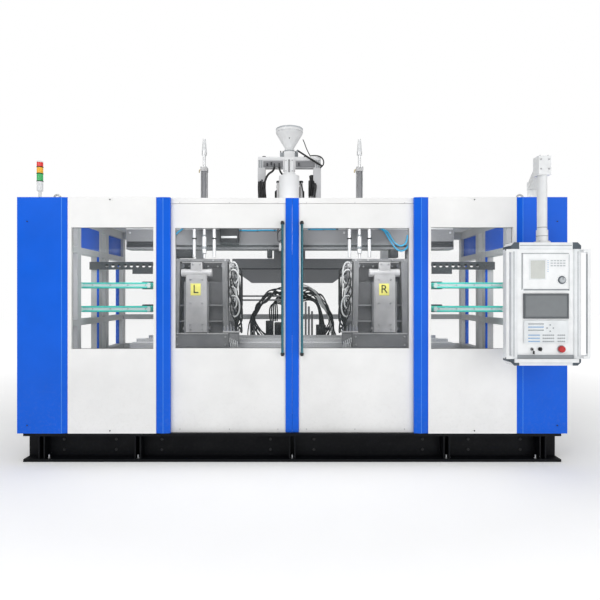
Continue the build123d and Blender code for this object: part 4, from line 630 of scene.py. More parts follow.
def dress_solids():
    """Gives each solid of the frame its finish, and breaks the edges of the folded and welded ones."""
    for row in frame["record"]["subparts"]:
        solid = frame["nodes"][row["node"]]
        plain = row["node"].removesuffix("_left").removesuffix("_right")
        usual = next(iter(FINISHES[row["material_slot"]]))
        for place in solid.material_slots:
            place.material = LOOKS[NODE_LOOKS.get(plain, usual)][0]
        if plain in ROUNDING:
            rounding = solid.modifiers.new("broken_edges", "BEVEL")
            rounding.width = ROUNDING[plain]
            rounding.segments = 2
            rounding.limit_method = "ANGLE"
            rounding.angle_limit = radians(50)
            rounding.use_clamp_overlap = True


# Signal tower: a stem and base, three lenses between dark rings, and a cap
def signal_tower():
    low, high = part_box("signal_tower")
    middle = (low + high) / 2
    foot, top, radius = low.z, high.z, 0.028
    seams = [foot + rise for rise in (0.184, 0.256, 0.317)]

    def ring(*profile):
        return turned(profile, (middle.x, middle.y, 0), steps=40)
    base = ring((0, foot), (0.04, foot), (0.04, foot + 0.006), (0.038, foot + 0.008), (0.015, foot + 0.01),
                (0.014, foot + 0.084), (0.02, foot + 0.09), (0.027, foot + 0.094), (radius, foot + 0.098),
                (radius, seams[0] - 0.003), (0.025, seams[0]), (0, seams[0]))
    finish(base, "tower_base", "pale_plastic", stands_for=["signal_tower"])
    bounds = seams + [top - 0.012]
    for number, (look, start, end) in enumerate(zip(("green", "amber", "red"), bounds, bounds[1:])):
        lens = ring((0.024, start + 0.003), (radius, start + 0.005), (radius, end - 0.004),
                    (0.024, end - 0.002))
        finish(lens, f"tower_lens_{look}", f"lamp_{look}")
        seal = ring((0, start - 0.002), (radius + 0.002, start - 0.002), (radius + 0.003, start),
                    (radius + 0.003, start + 0.003), (radius + 0.001, start + 0.005), (0, start + 0.005))
        finish(seal, f"tower_ring_{number}", "black_plastic")
    cap = ring((0, top), (0.018, top - 0.001), (0.026, top - 0.005), (radius, top - 0.012),
               (radius, top - 0.016), (0, top - 0.016))
    finish(cap, "tower_cap", "pale_plastic")


# Front: creased strips where the doors meet, pull bars, window rubber, screws, and lines at the sheet folds
# in a lighter blue, a painted highlight
STRIP_WIDTH = 0.0605
STRIP_FRONT, STRIP_BACK = -1.3222, -1.3112
CREASE = 0.006


def door_strips():
    for name, side in SIDES.items():
        low, high = (0.0008, STRIP_FRONT, 0.259), (STRIP_WIDTH, STRIP_BACK, 2.383)
        strip = mirrored_bar(side, low, high, 0.0006, 1)
        edit(strip)
        mesh = bmesh.from_edit_mesh(strip.data)
        for corner in mesh.verts:
            if side * corner.co.x > STRIP_WIDTH / 2 and corner.co.y < (STRIP_FRONT + STRIP_BACK) / 2:
                corner.co.y += CREASE
        bmesh.update_edit_mesh(strip.data)
        close_edit()
        finish(strip, f"door_strip_{name}", "blue", f"door_{name}")


def door_handles():
    for name in SIDES:
        low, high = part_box(f"door_handle_{name}")
        x, y, face = (low.x + high.x) / 2, low.y + 0.012, high.y
        grip = rod((x, y, low.z + 0.001), (x, y, high.z - 0.001), 0.0118, 28, 0.003)
        finish(grip, f"handle_bar_{name}", "teal_steel", f"door_{name}", [f"door_handle_{name}"])
        feet = []
        for z in (low.z + 0.014, high.z - 0.014):
            feet.append(rod((x, y - 0.004, z), (x, face, z), 0.0105, 20, 0.002))
            feet.append(rod((x, face - 0.0045, z), (x, face + 0.001, z), 0.018, 28, 0.0015))
            feet.append(rod((x, y, z - 0.0145), (x, y, z + 0.0145), 0.0135, 28, 0.002))
        finish(feet, f"handle_feet_{name}", "black_plastic", f"door_{name}")


def window_rubber():
    """Thin rubber round each front window."""
    windows = [(f"door_{name}", -1.2745, side * 0.0925, side * 1.065) for name, side in SIDES.items()]
    windows += [("machine", -1.3215, side * 1.25, side * 1.989) for side in SIDES.values()]
    foot, top, wide, thick = 1.017, 2.113, 0.0032, 0.003
    for number, (body, y, near, far) in enumerate(windows):
        left, right = sorted((near, far))
        spans = [(left, left + wide, foot, top), (right - wide, right, foot, top),
                 (left, right, top - wide, top), (left, right, foot, foot + wide)]
        strips = [bar((x1, y, z1), (x2, y + thick, z2), 0.0008, 1) for x1, x2, z1, z2 in spans]
        finish(strips, f"window_rubber_{number}", "hose", body)


def panel_screws():
    places = []
    for side in SIDES.values():
        places += [(side * 2.385, FRONT_FACE, height) for height in (0.33, 2.165)]
        places += [(side * 1.64, FRONT_FACE, height) for height in (0.282, 2.362)]
    finish(screws(places, FORWARD, 0.0075), "panel_screws", "dark")
    for name, side in SIDES.items():
        places = [(side * x, -1.305, height) for x in (0.13, 0.57, 1.02) for height in (0.285, 2.34)]
        finish(screws(places, FORWARD, 0.006), f"door_screws_{name}", "steel", f"door_{name}")


def sheet_fold_highlights():
    """Lines down the blue sheets at their folds in a lighter blue: a painted highlight where the bent paint
    catches the light.
    """
    half, proud, sunk = 0.003, 0.0012, 0.002
    folds = [bar((x - half, FRONT_FACE - proud, 0.2575), (x + half, FRONT_FACE + sunk, 2.3835), 0.001)
             for side in SIDES.values() for x in (side * 1.163, side * 2.077)]
    finish(folds, "sheet_fold_highlights", "fold_highlight")


# Pendant: rounded profiles with dark corner caps, controller, screen, keys, switches and grips
CASE_LEFT, CASE_RIGHT = 1.82, 2.403
CASE_FRONT, CASE_BACK = -1.7, -1.54
CASE_FOOT, CASE_TOP = 0.916, 1.941
PROFILE = 0.056
PANEL_FACE = -1.688
CONTROL_FACE = -1.6995
BUTTON_HEIGHT = 1.052


def pendant_frame():
    """Rounded profiles round the case, grey strips on them as the painted shade of their grooves, and a dark
    cap at each corner.
    """
    left, right, foot, top = CASE_LEFT, CASE_RIGHT, CASE_FOOT, CASE_TOP
    front, back, proud, inset = CASE_FRONT, CASE_BACK, 0.0006, 0.03
    members = [bar((x1, front - 0.0012, foot + inset), (x2, back + proud, top - inset), 0.007, 3)
               for x1, x2 in ((left - proud, left + PROFILE), (right - PROFILE, right + proud))]
    members += [bar((left + inset, front - 0.0008, z1), (right - inset, back + 0.0004, z2), 0.007, 3)
                for z1, z2 in ((foot - proud, foot + PROFILE), (top - PROFILE, top))]
    finish(members, "pendant_profiles", "frame_plastic", "pendant")
    # The grooves are flat grey strips on the profiles' fronts: painted shade in place of the recess.
    groove_shades, line, end, half = [], PROFILE * 0.45, 0.075, 0.003
    for x in (left + line, right - line):
        groove_shades.append(bar((x - half, front - 0.0016, foot + end), (x + half, front, top - end), 0.0003, 1))
    for z in (foot + line, top - line):
        groove_shades.append(bar((left + end, front - 0.0012, z - half), (right - end, front, z + half), 0.0003, 1))
    finish(groove_shades, "pendant_groove_shades", "groove_shade_and_seam_grey", "pendant")
    caps, reach, rise = [], 0.07, 0.056
    for x, inward in ((left - 0.001, 1), (right + 0.001, -1)):
        for z, upward in ((foot - 0.001, 1), (top + 0.001, -1)):
            far = (x + inward * reach, back + 0.0009, z + upward * rise)
            cap = bar((x, front - 0.0022, z), far, 0.001, 1)
            edit(cap)
            bpy.ops.mesh.select_all(action="SELECT")
            normal = Vector((inward, 0, upward)).normalized()
            middle = Vector((x, 0, z)) + normal * 0.02
            bpy.ops.mesh.bisect(plane_co=middle, plane_no=normal, use_fill=True, clear_inner=True)
            close_edit()
            caps.append(cap)
    finish(caps, "pendant_corners", "corner_plastic", "pendant")


def pendant_face():
    """The white front sheet with a stepped ledge below, and a grey band under the ledge's lip as its painted
    shadow.
    """
    left, right, top, face = CASE_LEFT + PROFILE, CASE_RIGHT - PROFILE, CASE_TOP - PROFILE, PANEL_FACE
    sheet = bar((left - 0.004, face - 0.0008, 0.973), (right + 0.004, face + 0.002, top + 0.004), 0.0004, 1)
    finish(sheet, "pendant_sheet", "panel_plastic", "pendant")
    # The grey band under the lip is a painted shadow of the ledge.
    shade = bar((left, face - 0.002, 0.972), (right, face, 1.006), 0.0006, 1)
    finish(shade, "ledge_painted_shadow", "ledge_shadow_and_block_grey", "pendant")
    lip = bar((left - 0.002, face - 0.014, 1.0055), (right + 0.002, face, 1.0115), 0.0018)
    finish(lip, "ledge_lip", "frame_plastic", "pendant")


def pendant_controller():
    """The upper controller: a framed panel with a painted shadow round it, a small screen, a row of lamps and
    a dial.
    """
    face, sheet = CONTROL_FACE, PANEL_FACE
    panel = bar((1.92, face - 0.0035, 1.553), (2.303, -1.6885, 1.847), 0.003)
    finish(sink_front(panel, (0.006, 0), (0.002, -0.0035)), "controller_panel", "panel_plastic", "pendant")
    # A grey outline round the panel, widest at the right and bottom: a painted shadow of the panel on the
    # sheet.
    shadow_outline = [bar((1.9135, sheet - 0.0014, 1.5465), (1.9205, sheet, 1.8535), 0.0003, 1),
              bar((1.9135, sheet - 0.0014, 1.8465), (2.309, sheet, 1.8535), 0.0003, 1),
              bar((2.303, sheet - 0.0014, 1.54), (2.313, sheet, 1.842), 0.0004, 1),
              bar((1.93, sheet - 0.0014, 1.541), (2.311, sheet, 1.5525), 0.0004, 1)]
    finish(shadow_outline, "controller_shadow_outline", "groove_shade_and_seam_grey", "pendant")
    rim = bar((1.972, face - 0.003, 1.628), (2.115, face, 1.802), 0.002)
    finish(sink_front(rim, (0.01, -0.0022)), "small_screen_rim", "frame_plastic", "pendant")
    glass = bar((1.984, face - 0.0014, 1.64), (2.103, face, 1.79), 0.0004, 1)
    finish(glass, "small_screen", "screen_pale", "pendant")
    lamps = [rod((2.129, face + 0.0004, z), (2.129, face - 0.0018, z), 0.0034, 12, 0.0006)
             for z in (1.7 + 0.018 * row for row in range(6))]
    finish(lamps, "controller_lamps", "key_blue", "pendant")
    keys = [bar((x, face - 0.0014, z), (x + 0.02, face, z + 0.01), 0.0005, 1)
            for x in (2.15 + 0.026 * column for column in range(5)) for z in (1.742, 1.763, 1.784)]
    finish(keys, "controller_keys", "dial_grey", "pendant")
    x, z = 2.2446, 1.628
    dial = turned([(0, 0), (0.033, 0), (0.033, 0.0026), (0.031, 0.004), (0.027, 0.0044), (0.0265, 0.003),
                   (0, 0.003)], (x, face, z), "-Y", 48)
    finish(dial, "dial_ring", "corner_plastic", "pendant")
    knob = turned([(0, 0.002), (0.024, 0.002), (0.0228, 0.016), (0.021, 0.019), (0.014, 0.0195),
                   (0.013, 0.018), (0, 0.018)], (x, face, z), "-Y", 40)
    finish(knob, "dial_knob", "dial_grey", "pendant")
    pointer = bar((x - 0.0018, face - 0.0206, z + 0.002), (x + 0.0018, face - 0.018, z + 0.022), 0.0005, 1)
    tick = bar((x - 0.0007, face - 0.0012, z + 0.036), (x + 0.0007, face, z + 0.041), 0.0002, 1)
    spread = [radians(30 * step) for step in range(1, 12) if step not in (5, 6, 7)]
    ticks = [pointer, tick] + turn_copies(tick, (x, 0, z), "Y", spread)
    finish(ticks, "dial_marks", "black_plastic", "pendant")


def pendant_screen():
    """The main screen behind a bevelled bezel."""
    bezel = bar((1.926, -1.703, 1.306), (2.303, -1.6885, 1.516), 0.003)
    finish(sink_front(bezel, (0.013, -0.0035)), "screen_bezel", "screen_frame", "pendant")
    glass = bar((1.942, -1.7004, 1.322), (2.287, -1.6985, 1.5), 0.0004, 1)
    finish(glass, "main_screen", "screen", "pendant")


def pendant_keys():
    """Rows of keys and four arrow keys on their sheet."""
    sheet = bar((1.93, -1.6998, 1.102), (2.299, -1.698, 1.29), 0.0005, 1)
    finish(sheet, "key_sheet", "key_sheet", "pendant")
    left, pitch = 1.971, 0.0165
    blue, grey = [], []

    def row(start, height, count):
        return [(start + pitch * step, 0, height) for step in range(count)]
    for target, height in ((grey, 1.262), (blue, 1.236), (grey, 1.21)):
        target += row(left, height, 8)
    for height in (1.169, 1.143, 1.117):
        blue += row(left, height, 6)
        grey += row(2.09, height, 6) + row(2.214, height, 4)
    grey += [(2.147, 0, 1.254), (2.147, 0, 1.202), (2.121, 0, 1.228), (2.173, 0, 1.228)]
    for places, name, look in ((grey, "keys_grey", "key_grey"), (blue, "keys_blue", "key_blue")):
        key = bar((1.9655, -1.7022, 1.2575), (1.9765, -1.6994, 1.2665), 0.0012)
        finish(repeat(key, places, (left, 0, 1.262)), name, look, "pendant")


def pendant_switches():
    """The key switch with its key hanging, and the collar under the stop button."""
    x, z, face = 1.999, BUTTON_HEIGHT, PANEL_FACE - 0.0006
    ring = turned([(0, 0), (0.0145, 0), (0.0145, 0.004), (0.012, 0.007), (0.008, 0.007), (0.0075, 0.005),
                   (0, 0.005)], (x, face, z), "-Y", 32)
    finish(ring, "key_switch", "steel", "pendant")
    blade = bar((x - 0.0015, -1.712, z - 0.008), (x + 0.0015, -1.692, z + 0.008), 0.0005, 1)
    tag = bar((x - 0.004, -1.7165, 1.012), (x + 0.012, -1.7125, 1.04), 0.0018, 3)
    link = pipe([(x, -1.712, z), (x + 0.003, -1.717, 1.046), (x + 0.004, -1.7145, 1.034)], 0.0016)
    finish([blade, tag, link], "switch_key", "black_plastic", "pendant")
    stop = turned([(0.0285, 0), (0.034, 0), (0.034, 0.003), (0.0325, 0.0045), (0.0295, 0.0045),
                   (0.0285, 0.003), (0.0285, 0)], (2.243, face, z), "-Y", 40)
    finish(stop, "stop_collar", "dial_grey", "pendant")


def pendant_grips():
    """Grey lines at the inner edges of the grips as painted shade of the gaps beside them, hanger rings and
    the screws of flange and elbow.
    """
    for name, x, inner in (("left", 1.764, 1.788), ("right", 2.435, 2.435)):
        # A grey strip at each grip's inner edge: painted shade of the gap between grip and frame.
        gap_shade = bar((inner - 0.0008, -1.7405, 1.02), (inner + 0.0008, -1.7215, 1.84), 0.0004, 1)
        finish(gap_shade, f"grip_gap_shade_{name}", "groove_shade_and_seam_grey", "pendant")
        caps = [bar((x - 0.0005, -1.7428, z - 0.006), (x + 0.0245, -1.7185, z + 0.006), 0.0016)
                for z in (0.982, 1.875)]
        finish(caps, f"grip_caps_{name}", "corner_plastic", "pendant")
    x, y, reach = 2.118, -1.62, 0.034
    places = circle_of_places((x, y, 1.953), 0.056, 4, pi / 4)
    finish(screws(places, UP, 0.008), "flange_screws", "steel", "pendant")
    seam = band(0.0468, 0.0484, 0.006, 0.001, (x, y, 1.998))
    ring = band(0.0398, 0.0415, 0.007, 0.001, (x, y, 2.07))
    finish([seam, ring], "hanger_rings", "groove_shade_and_seam_grey", "pendant")
    heads = screws([(x + dx, -1.672, z) for dx in (-reach, reach) for z in (2.56, 2.64)], FORWARD, 0.009)
    heads += screws([(x + dx, y + dy, 2.672) for dx in (-reach, reach) for dy in (-reach, reach)],
                    UP, 0.009)
    finish(heads, "elbow_screws", "steel", "pendant_arm")


def pendant_trim():
    pendant_frame()
    pendant_face()
    pendant_controller()
    pendant_screen()
    pendant_keys()
    pendant_switches()
    pendant_grips()


# Clamp stations: rocking lever, letter plate, screws, painted shade in the bays, valves, fittings and short
# hoses
LEVER_SHIFT = 0.048
STATION_LETTERS = {"left": "L", "right": "R"}
CLEVIS_Y, CLEVIS_Z = -0.665, 1.732
FRAME_FRONT = -0.7
PLATE_SHIFT, PLATE_HEIGHT = -0.007, 1.56
VALVE_TOP, VALVE_PITCH = 1.79, 0.085


def clamp_lever(name, side):
    """The rocking lever: a faceted column, a neck and a round clevis with bushed ends."""
    x = CLAMP_CENTRES[name] + side * LEVER_SHIFT
    body = f"lever_{name}"
    column = bar((x - 0.108, FRAME_FRONT, 1.121), (x + 0.108, -0.6305, CLEVIS_Z), 0.0001, 1)
    edit(column, "EDGE")
    pick_edges(column, lambda first, second: abs(first.z - second.z) > 0.4 and first.y < -0.699)
    bpy.ops.mesh.bevel(offset=0.024, segments=1, affect="EDGES")
    close_edit()
    take(column)
    rounding = column.modifiers.new("edges", "BEVEL")
    rounding.width, rounding.segments, rounding.angle_limit = 0.003, 2, radians(25)
    bpy.ops.object.modifier_apply(modifier="edges")
    neck = bar((x - 0.06, -0.6985, CLEVIS_Z - 0.03), (x + 0.06, -0.632, 1.843), 0.006, 3)
    finish([column, neck], f"lever_column_{name}", "casting_mid", body, [f"clamp_lever_{name}"])
    lower = [(0, -0.1575), (0.018, -0.1575), (0.018, -0.148), (0.03, -0.148), (0.03, -0.1575),
             (0.039, -0.1575), (0.0418, -0.154), (0.0418, -0.116), (0.0392, -0.113)]
    upper = [(radius, -height) for radius, height in reversed(lower)]
    clevis = turned(lower + upper, (x, CLEVIS_Y, CLEVIS_Z), "X", 36)
    finish(clevis, f"lever_clevis_{name}", "casting_pale", body)
    heads = screws([(x + dx, -0.6985, 1.818) for dx in (-0.036, 0.036)], FORWARD, 0.012)
    heads += screws([(x + dx, FRAME_FRONT, z) for dx in (-0.06, 0.06) for z in (1.15, 1.2, 1.42, 1.66)],
                    FORWARD, 0.011)
    finish(heads, f"lever_screws_{name}", "steel", body)
    x, z = x + PLATE_SHIFT, PLATE_HEIGHT
    plate = bar((x - 0.052, -0.7022, z - 0.061), (x + 0.052, -0.6996, z + 0.061), 0.0008)
    finish(plate, f"station_plate_{name}", "yellow", body)
    letter = letters(STATION_LETTERS[name], (x, -0.7026, z), 0.12, 0.0012)
    finish(letter, f"station_letter_{name}", "sign_black", body)


def clamp_frame_trim(name, side):
    """Dark sheets in the bays beside the lever as painted shade, a pale foot ledge, and the screws and nuts
    of frame and yoke.
    """
    centre = CLAMP_CENTRES[name]
    lever = centre + side * LEVER_SHIFT
    body = f"carriage_{name}"
    # Thin dark sheets at the back of the bays between lever and frame: painted shade.
    bay_shades = []
    for out in (-1, 1):
        left, right = sorted((lever + out * 0.1265, centre + out * 0.222))
        bay_shades.append(bar((left, -0.6075, 1.1145), (right, -0.6045, 1.6365), 0.0006, 1))
    finish(bay_shades, f"bay_shade_{name}", "casting_shaded_dark", body)
    places = [(centre + dx, FRAME_FRONT, z) for dx in (-0.25, 0.25) for z in (0.99, 1.075)]
    places += [(centre + dx, FRAME_FRONT, 1.86) for dx in (-0.25, -0.125, 0.125, 0.25)]
    finish(screws(places, FORWARD, 0.013), f"frame_screws_{name}", "steel", body)
    ledge = bar((centre - 0.281, -0.706, 1.1), (centre + 0.281, -0.6995, 1.1125), 0.002)
    finish(ledge, f"foot_ledge_{name}", "casting_mid", body)
    nuts = bolts([(centre + dx, 0.15, z) for dx in (-0.218, 0.218) for z in (1.175, 1.808)], BACKWARD, 0.034)
    nuts += bolts([(centre + dx, 0.35, 1.4915 + dz) for dx in (-0.048, 0.048) for dz in (-0.048, 0.048)],
                  BACKWARD, 0.013)
    finish(nuts, f"yoke_nuts_{name}", "steel", body)


def clamp_fittings(name, side):
    """Valves, elbows, pale and black hoses at the inner side of a station."""
    inner = CLAMP_CENTRES[name] - side * 0.285

    def at(across, depth, height):
        return (inner - side * across, depth, height)

    def box(low, high, edge=0.003):
        return bar(at(*low), at(*high), edge)

    def hose(radius, *points):
        return pipe([at(*point) for point in points], radius)
    valves, fittings, brass, pale, black = [], [], [], [], []
    for n in range(6):
        z = VALVE_TOP - VALVE_PITCH * n
        valves.append(box((0.006, -0.729, z - 0.027), (0.052, FRAME_FRONT, z + 0.027)))
        valves.append(box((0.014, -0.752, z - 0.015), (0.044, -0.728, z + 0.015)))
        fittings.append(elbow(at(0.0585, -0.712, z), (-side, 0, 0), -0.03, 0.011))
        brass.append(elbow(at(0.029, -0.752, z + 0.002), FORWARD, 0.024, 0.009))
    for n in range(5):
        z = 1.8 - VALVE_PITCH * n + 0.012 * sin(2.3 * n)
        reach = 0.086 + 0.026 * sin(1.9 * n + 0.5)
        pale.append(hose(0.0078, (0.029, -0.767, z), (0.036, -0.792, z + 0.045), (reach, -0.796, z + 0.02),
                         (reach + 0.014, -0.78, z - 0.12), (0.07, -0.776, z - 0.2),
                         (0.029, -0.767, z - 0.15)))
    for n in range(6):
        z = 1.756 - VALVE_PITCH * n
        reach = 0.108 + 0.024 * sin(2.7 * n)
        black.append(hose(0.0092, (0.077, -0.712, z), (reach, -0.706, z - 0.06),
                          (reach + 0.01, -0.712, z - 0.24), (reach - 0.01, -0.7, 1.27 - 0.02 * n),
                          (0.06 + 0.008 * n, -0.69, 1.17), (0.014 + 0.014 * n, -0.68, 1.105)))
    for n in range(5):
        z = VALVE_TOP - VALVE_PITCH * n
        bow = 0.024 + 0.016 * sin(2.1 * n + 1.0)
        end = (0.046, -0.72, z - 0.255) if n < 3 else (0.04 + 0.012 * n, -0.69, 1.124)
        black.append(hose(0.007, (0.038, -0.746, z - 0.01), (bow, -0.8, z - 0.05),
                          (0.01 + bow, -0.812, z - 0.125), (0.066, -0.806, z - 0.185),
                          (0.08, -0.772, z - 0.235), end))
    shelf = box((-0.06, -0.712, 1.1175), (0.112, -0.63, 1.134))
    block = box((0.004, -0.698, 0.992), (0.104, -0.64, 1.116), 0.004)
    for n in range(5):
        x, y, z = at(-0.048 + 0.034 * n, -0.694, 1.17 + 0.01 * (n % 3))
        fittings.append(rod((x, y, 1.13), (x, y, z), 0.0125, 6, 0.002))
        fittings.append(rod((x, y, z), (x, y, z + 0.016), 0.0085, 14, 0.002))
        brass.append(elbow(at(0.014 + 0.019 * n, -0.698, 1.06 - 0.01 * n), FORWARD, -0.04, 0.0095))
    for n in range(4):
        x = 0.02 + 0.022 * n
        pale.append(hose(0.007, (x, -0.714, 1.016), (x + 0.004, -0.722, 0.965), (x + 0.01, -0.69, 0.905),
                         (x, -0.64, 0.88), (x - 0.01, -0.604, 0.93), (x - 0.02, -0.595, 1.0)))
    for pieces, piece_name, look in (
        (valves, "valve_stack", "casting_mid"), (block, "valve_block", "casting"),
        (shelf, "fitting_shelf", "casting_pale"), (fittings, "hose_fittings", "steel"),
        (brass, "small_elbows", "rod_painted_reflection"), (pale, "pale_hoses", "pale_hose"),
        (black, "black_hoses", "hose"),
    ):
        finish(pieces, f"{piece_name}_{name}", look, f"carriage_{name}")


def platen_trim(name):
    """Mould clamps and screws on the front faces of the platens that show."""
    centre, face = CLAMP_CENTRES[name], -0.5455
    bars, heads = [], []
    for z in (1.15, 1.805):
        bars.append(bar((centre - 0.17, face, z - 0.014), (centre + 0.17, face + 0.006, z + 0.014), 0.002))
        heads += [(centre + dx, face, z) for dx in (-0.15, -0.05, 0.05, 0.15)]
    finish(bars, f"platen_bars_{name}", "casting_shaded_dark", f"front_platen_{name}")
    finish(screws(heads, FORWARD, 0.012), f"platen_screws_{name}", "steel", f"front_platen_{name}")


# Blow stations: cylinder caps with tie rods, guide collars, fittings and air hoses
def blow_station(name):
    x, y = BLOW_CENTRES[name], HEAD_Y
    pin = f"blow_pin_{name}"
    foot, top, half, reach = 2.315, 2.903, 0.0385, 0.03
    caps, rods = [], []
    for low, high in ((foot, foot + 0.04), (top - 0.04, top)):
        caps.append(bar((x - half, y - half, low + 0.0005), (x + half, y + half, high + 0.0006), 0.004))
    for dx in (-reach, reach):
        for dy in (-reach, reach):
            rods.append(rod((x + dx, y + dy, foot + 0.02), (x + dx, y + dy, top + 0.012), 0.0042, 12, 0.001))
            rods.append(rod((x + dx, y + dy, top), (x + dx, y + dy, top + 0.008), 0.008, 6, 0.001))
    finish(caps, f"blow_caps_{name}", "casting_mid")
    finish(rods, f"blow_tie_rods_{name}", "steel")
    tubes = [elbow((x + half, y, foot + 0.02), (1, 0, 0), 0.03, 0.01),
             elbow((x - half, y, top - 0.02), (-1, 0, 0), -0.03, 0.01)]
    finish(tubes, f"blow_fittings_{name}", "brass")
    away = x + 0.0555
    hose = pipe([(away, y, foot + 0.048), (away + 0.004, y, foot + 0.11),
                 (away + 0.06, y + 0.03, foot + 0.12), (away + 0.09, y + 0.1, foot + 0.02),
                 (away + 0.08, y + 0.2, foot - 0.02)], 0.0055)
    finish(hose, f"blow_hoses_{name}", "cyan")
    collars = [collar(0.0182, 0.027, 0.014, 0.0015, 0.002, (x + dx, y, 2.118), 28) for dx in (-0.11, 0.11)]
    finish(collars, f"guide_collars_{name}", "hose", pin)
    nose = band(0.0242, 0.0262, 0.028, 0.002, (x, y, 2.01), 28)
    ring = band(0.0162, 0.022, 0.019, 0.001, (x, y, 2.15), 28)
    finish([nose, ring], f"blow_pin_rings_{name}", "groove_shade_and_seam_grey", pin)
    sleeve = [(0.0161, 0), (0.0255, 0), (0.0262, 0.004), (0.0215, 0.079), (0.0172, 0.116), (0.0161, 0.118)]
    finish(turned(sleeve, (x, y, 3.0895)), f"stroke_sleeve_{name}", "arm_paint", pin)


# Carrier beam: cover box, hanging blocks, air lines, bands of painted highlight and shadow, and cable ducts
BEAM_FRONT = -0.05


def beam_trim():
    front = BEAM_FRONT
    cover = bar((-0.823, -0.14, 2.079), (-0.609, front, 2.276), 0.004)
    lid = bar((-0.815, -0.1425, 2.09), (-0.617, -0.1395, 2.266), 0.001)
    finish([cover, lid], "beam_cover", "dark")
    strip = bar((-0.806, -0.1455, 2.148), (-0.626, -0.142, 2.172), 0.001)
    finish(strip, "beam_cover_strip", "pale_plastic")
    blocks = []
    for x, half in ((-1.25, 0.085), (-0.262, 0.028), (1.18, 0.045)):
        wide = half + 0.012
        blocks.append(bar((x - half, front + 0.01, 1.935), (x + half, 0.11, 2.056), 0.004))
        blocks.append(bar((x - wide, front + 0.004, 2.03), (x + wide, 0.12, 2.056), 0.003))
    finish(blocks, "beam_hangers", "dark")
    lines = [
        pipe([(-0.606, -0.058, 2.247), (-0.45, -0.06, 2.243), (-0.3, -0.058, 2.251),
              (-0.18, -0.058, 2.246)], 0.009),
        pipe([(0.18, -0.058, 2.262), (0.3, -0.06, 2.256), (0.42, -0.058, 2.264),
              (0.53, -0.057, 2.262)], 0.009),
        pipe([(-1.37, -0.06, 2.125), (-1.345, -0.075, 2.19), (-1.3, -0.072, 2.235),
              (-1.245, -0.06, 2.274)], 0.0095),
        pipe([(0.96, -0.06, 2.276), (1.04, -0.085, 2.27), (1.105, -0.095, 2.15), (1.18, -0.1, 2.03),
              (1.262, -0.085, 1.995), (1.345, -0.066, 2.07), (1.35, -0.055, 2.15)], 0.0095),
        pipe([(1.0, -0.06, 2.27), (1.085, -0.09, 2.255), (1.15, -0.105, 2.11), (1.24, -0.1, 2.05),
              (1.32, -0.08, 2.11), (1.325, -0.06, 2.19)], 0.0085),
    ]
    finish(lines, "beam_air_lines", "cyan")
    clips = [bar((x - 0.01, -0.066, z - 0.012), (x + 0.01, front, z + 0.012), 0.002)
             for x, z in ((-0.59, 2.247), (-0.4, 2.245), (-0.2, 2.247), (0.2, 2.261), (0.36, 2.26),
                          (0.515, 2.262), (-1.35, 2.165), (1.352, 2.16))]
    finish(clips, "beam_clips", "black_plastic")
    # A pale band along the top of the beam's front: a painted highlight.
    highlight_band = bar((-1.91, -0.053, 2.2585), (1.858, -0.0495, 2.2845), 0.001, 1)
    finish(highlight_band, "beam_painted_highlight", "casting_pale")
    # Dark bands along the beam's lower flange and where the extruder platform's beam meets its truss: painted
    # shadow lines.
    bands = [bar((-1.91, -0.053, 2.0545), (1.858, -0.0495, 2.08), 0.001, 1),
             bar((-0.762, 0.597, 1.83), (0.762, 0.6005, 1.845), 0.001, 1)]
    finish(bands, "beam_painted_shadows", "dark")
    ducts = [bar((left, -0.056, 2.08), (right, front + 0.001, 2.12), 0.002)
             for left, right in ((-1.9, -1.42), (1.42, 1.85))]
    finish(ducts, "beam_ducts", "dark")
    heads = bolts([(x, -0.0506, 2.22) for x in (-1.87, -1.5, 0.6, 1.5, 1.82)], FORWARD, 0.012)
    finish(heads, "beam_bolts", "steel")


# Behind the clamps: service boxes, pipes and cables between the column and the stations
COLUMN_SIDE = 0.122
SHELF_TOP = 0.978


def service_cables():
    """Black and pale cables that run from the column down to the shelf."""
    black, pale = [], []
    for side, count in ((-1, 9), (1, 8)):
        for n in range(count):
            sway, lift = 0.045 * sin(2.3 * n + side), 0.06 * sin(1.7 * n + 0.8)
            back = 0.462 + 0.018 * sin(3.1 * n)
            black.append(pipe([
                (side * COLUMN_SIDE, 0.602, 1.6 - 0.024 * n), (side * (0.23 + sway), back, 1.56 + lift),
                (side * (0.35 + sway), back, 1.47 - lift),
                (side * (0.44 + 0.5 * sway), back + 0.01, 1.33 + lift),
                (side * (0.52 - sway), back + 0.02, 1.16), (side * (0.56 - 0.034 * n), 0.5, 0.976)],
                0.0075 + 0.0012 * (n % 3)))
    for n in range(5):
        back = 0.442 + 0.014 * n
        black.append(pipe([(-0.27 + 0.02 * n, back + 0.02, 1.175), (-0.3 + 0.03 * n, back, 1.33),
                           (-0.22, back, 1.42 + 0.02 * n), (-COLUMN_SIDE, 0.605, 1.38 + 0.02 * n)], 0.0085))
        black.append(pipe([(0.34 + 0.016 * n, back + 0.02, 1.125), (0.35, back, 1.33 + 0.02 * n),
                           (0.24, back, 1.47), (COLUMN_SIDE, 0.605, 1.42 + 0.03 * n)], 0.0085))
    for n in range(3):
        pale.append(pipe([(COLUMN_SIDE, 0.61, 1.64 - 0.03 * n), (0.26, 0.47, 1.6),
                          (0.35, 0.45, 1.45 - 0.04 * n), (0.44, 0.47, 1.3),
                          (0.5 + 0.02 * n, 0.5, SHELF_TOP)], 0.0075))
    finish(black, "service_cables", "hose")
    finish(pale, "service_hoses", "pale_hose")


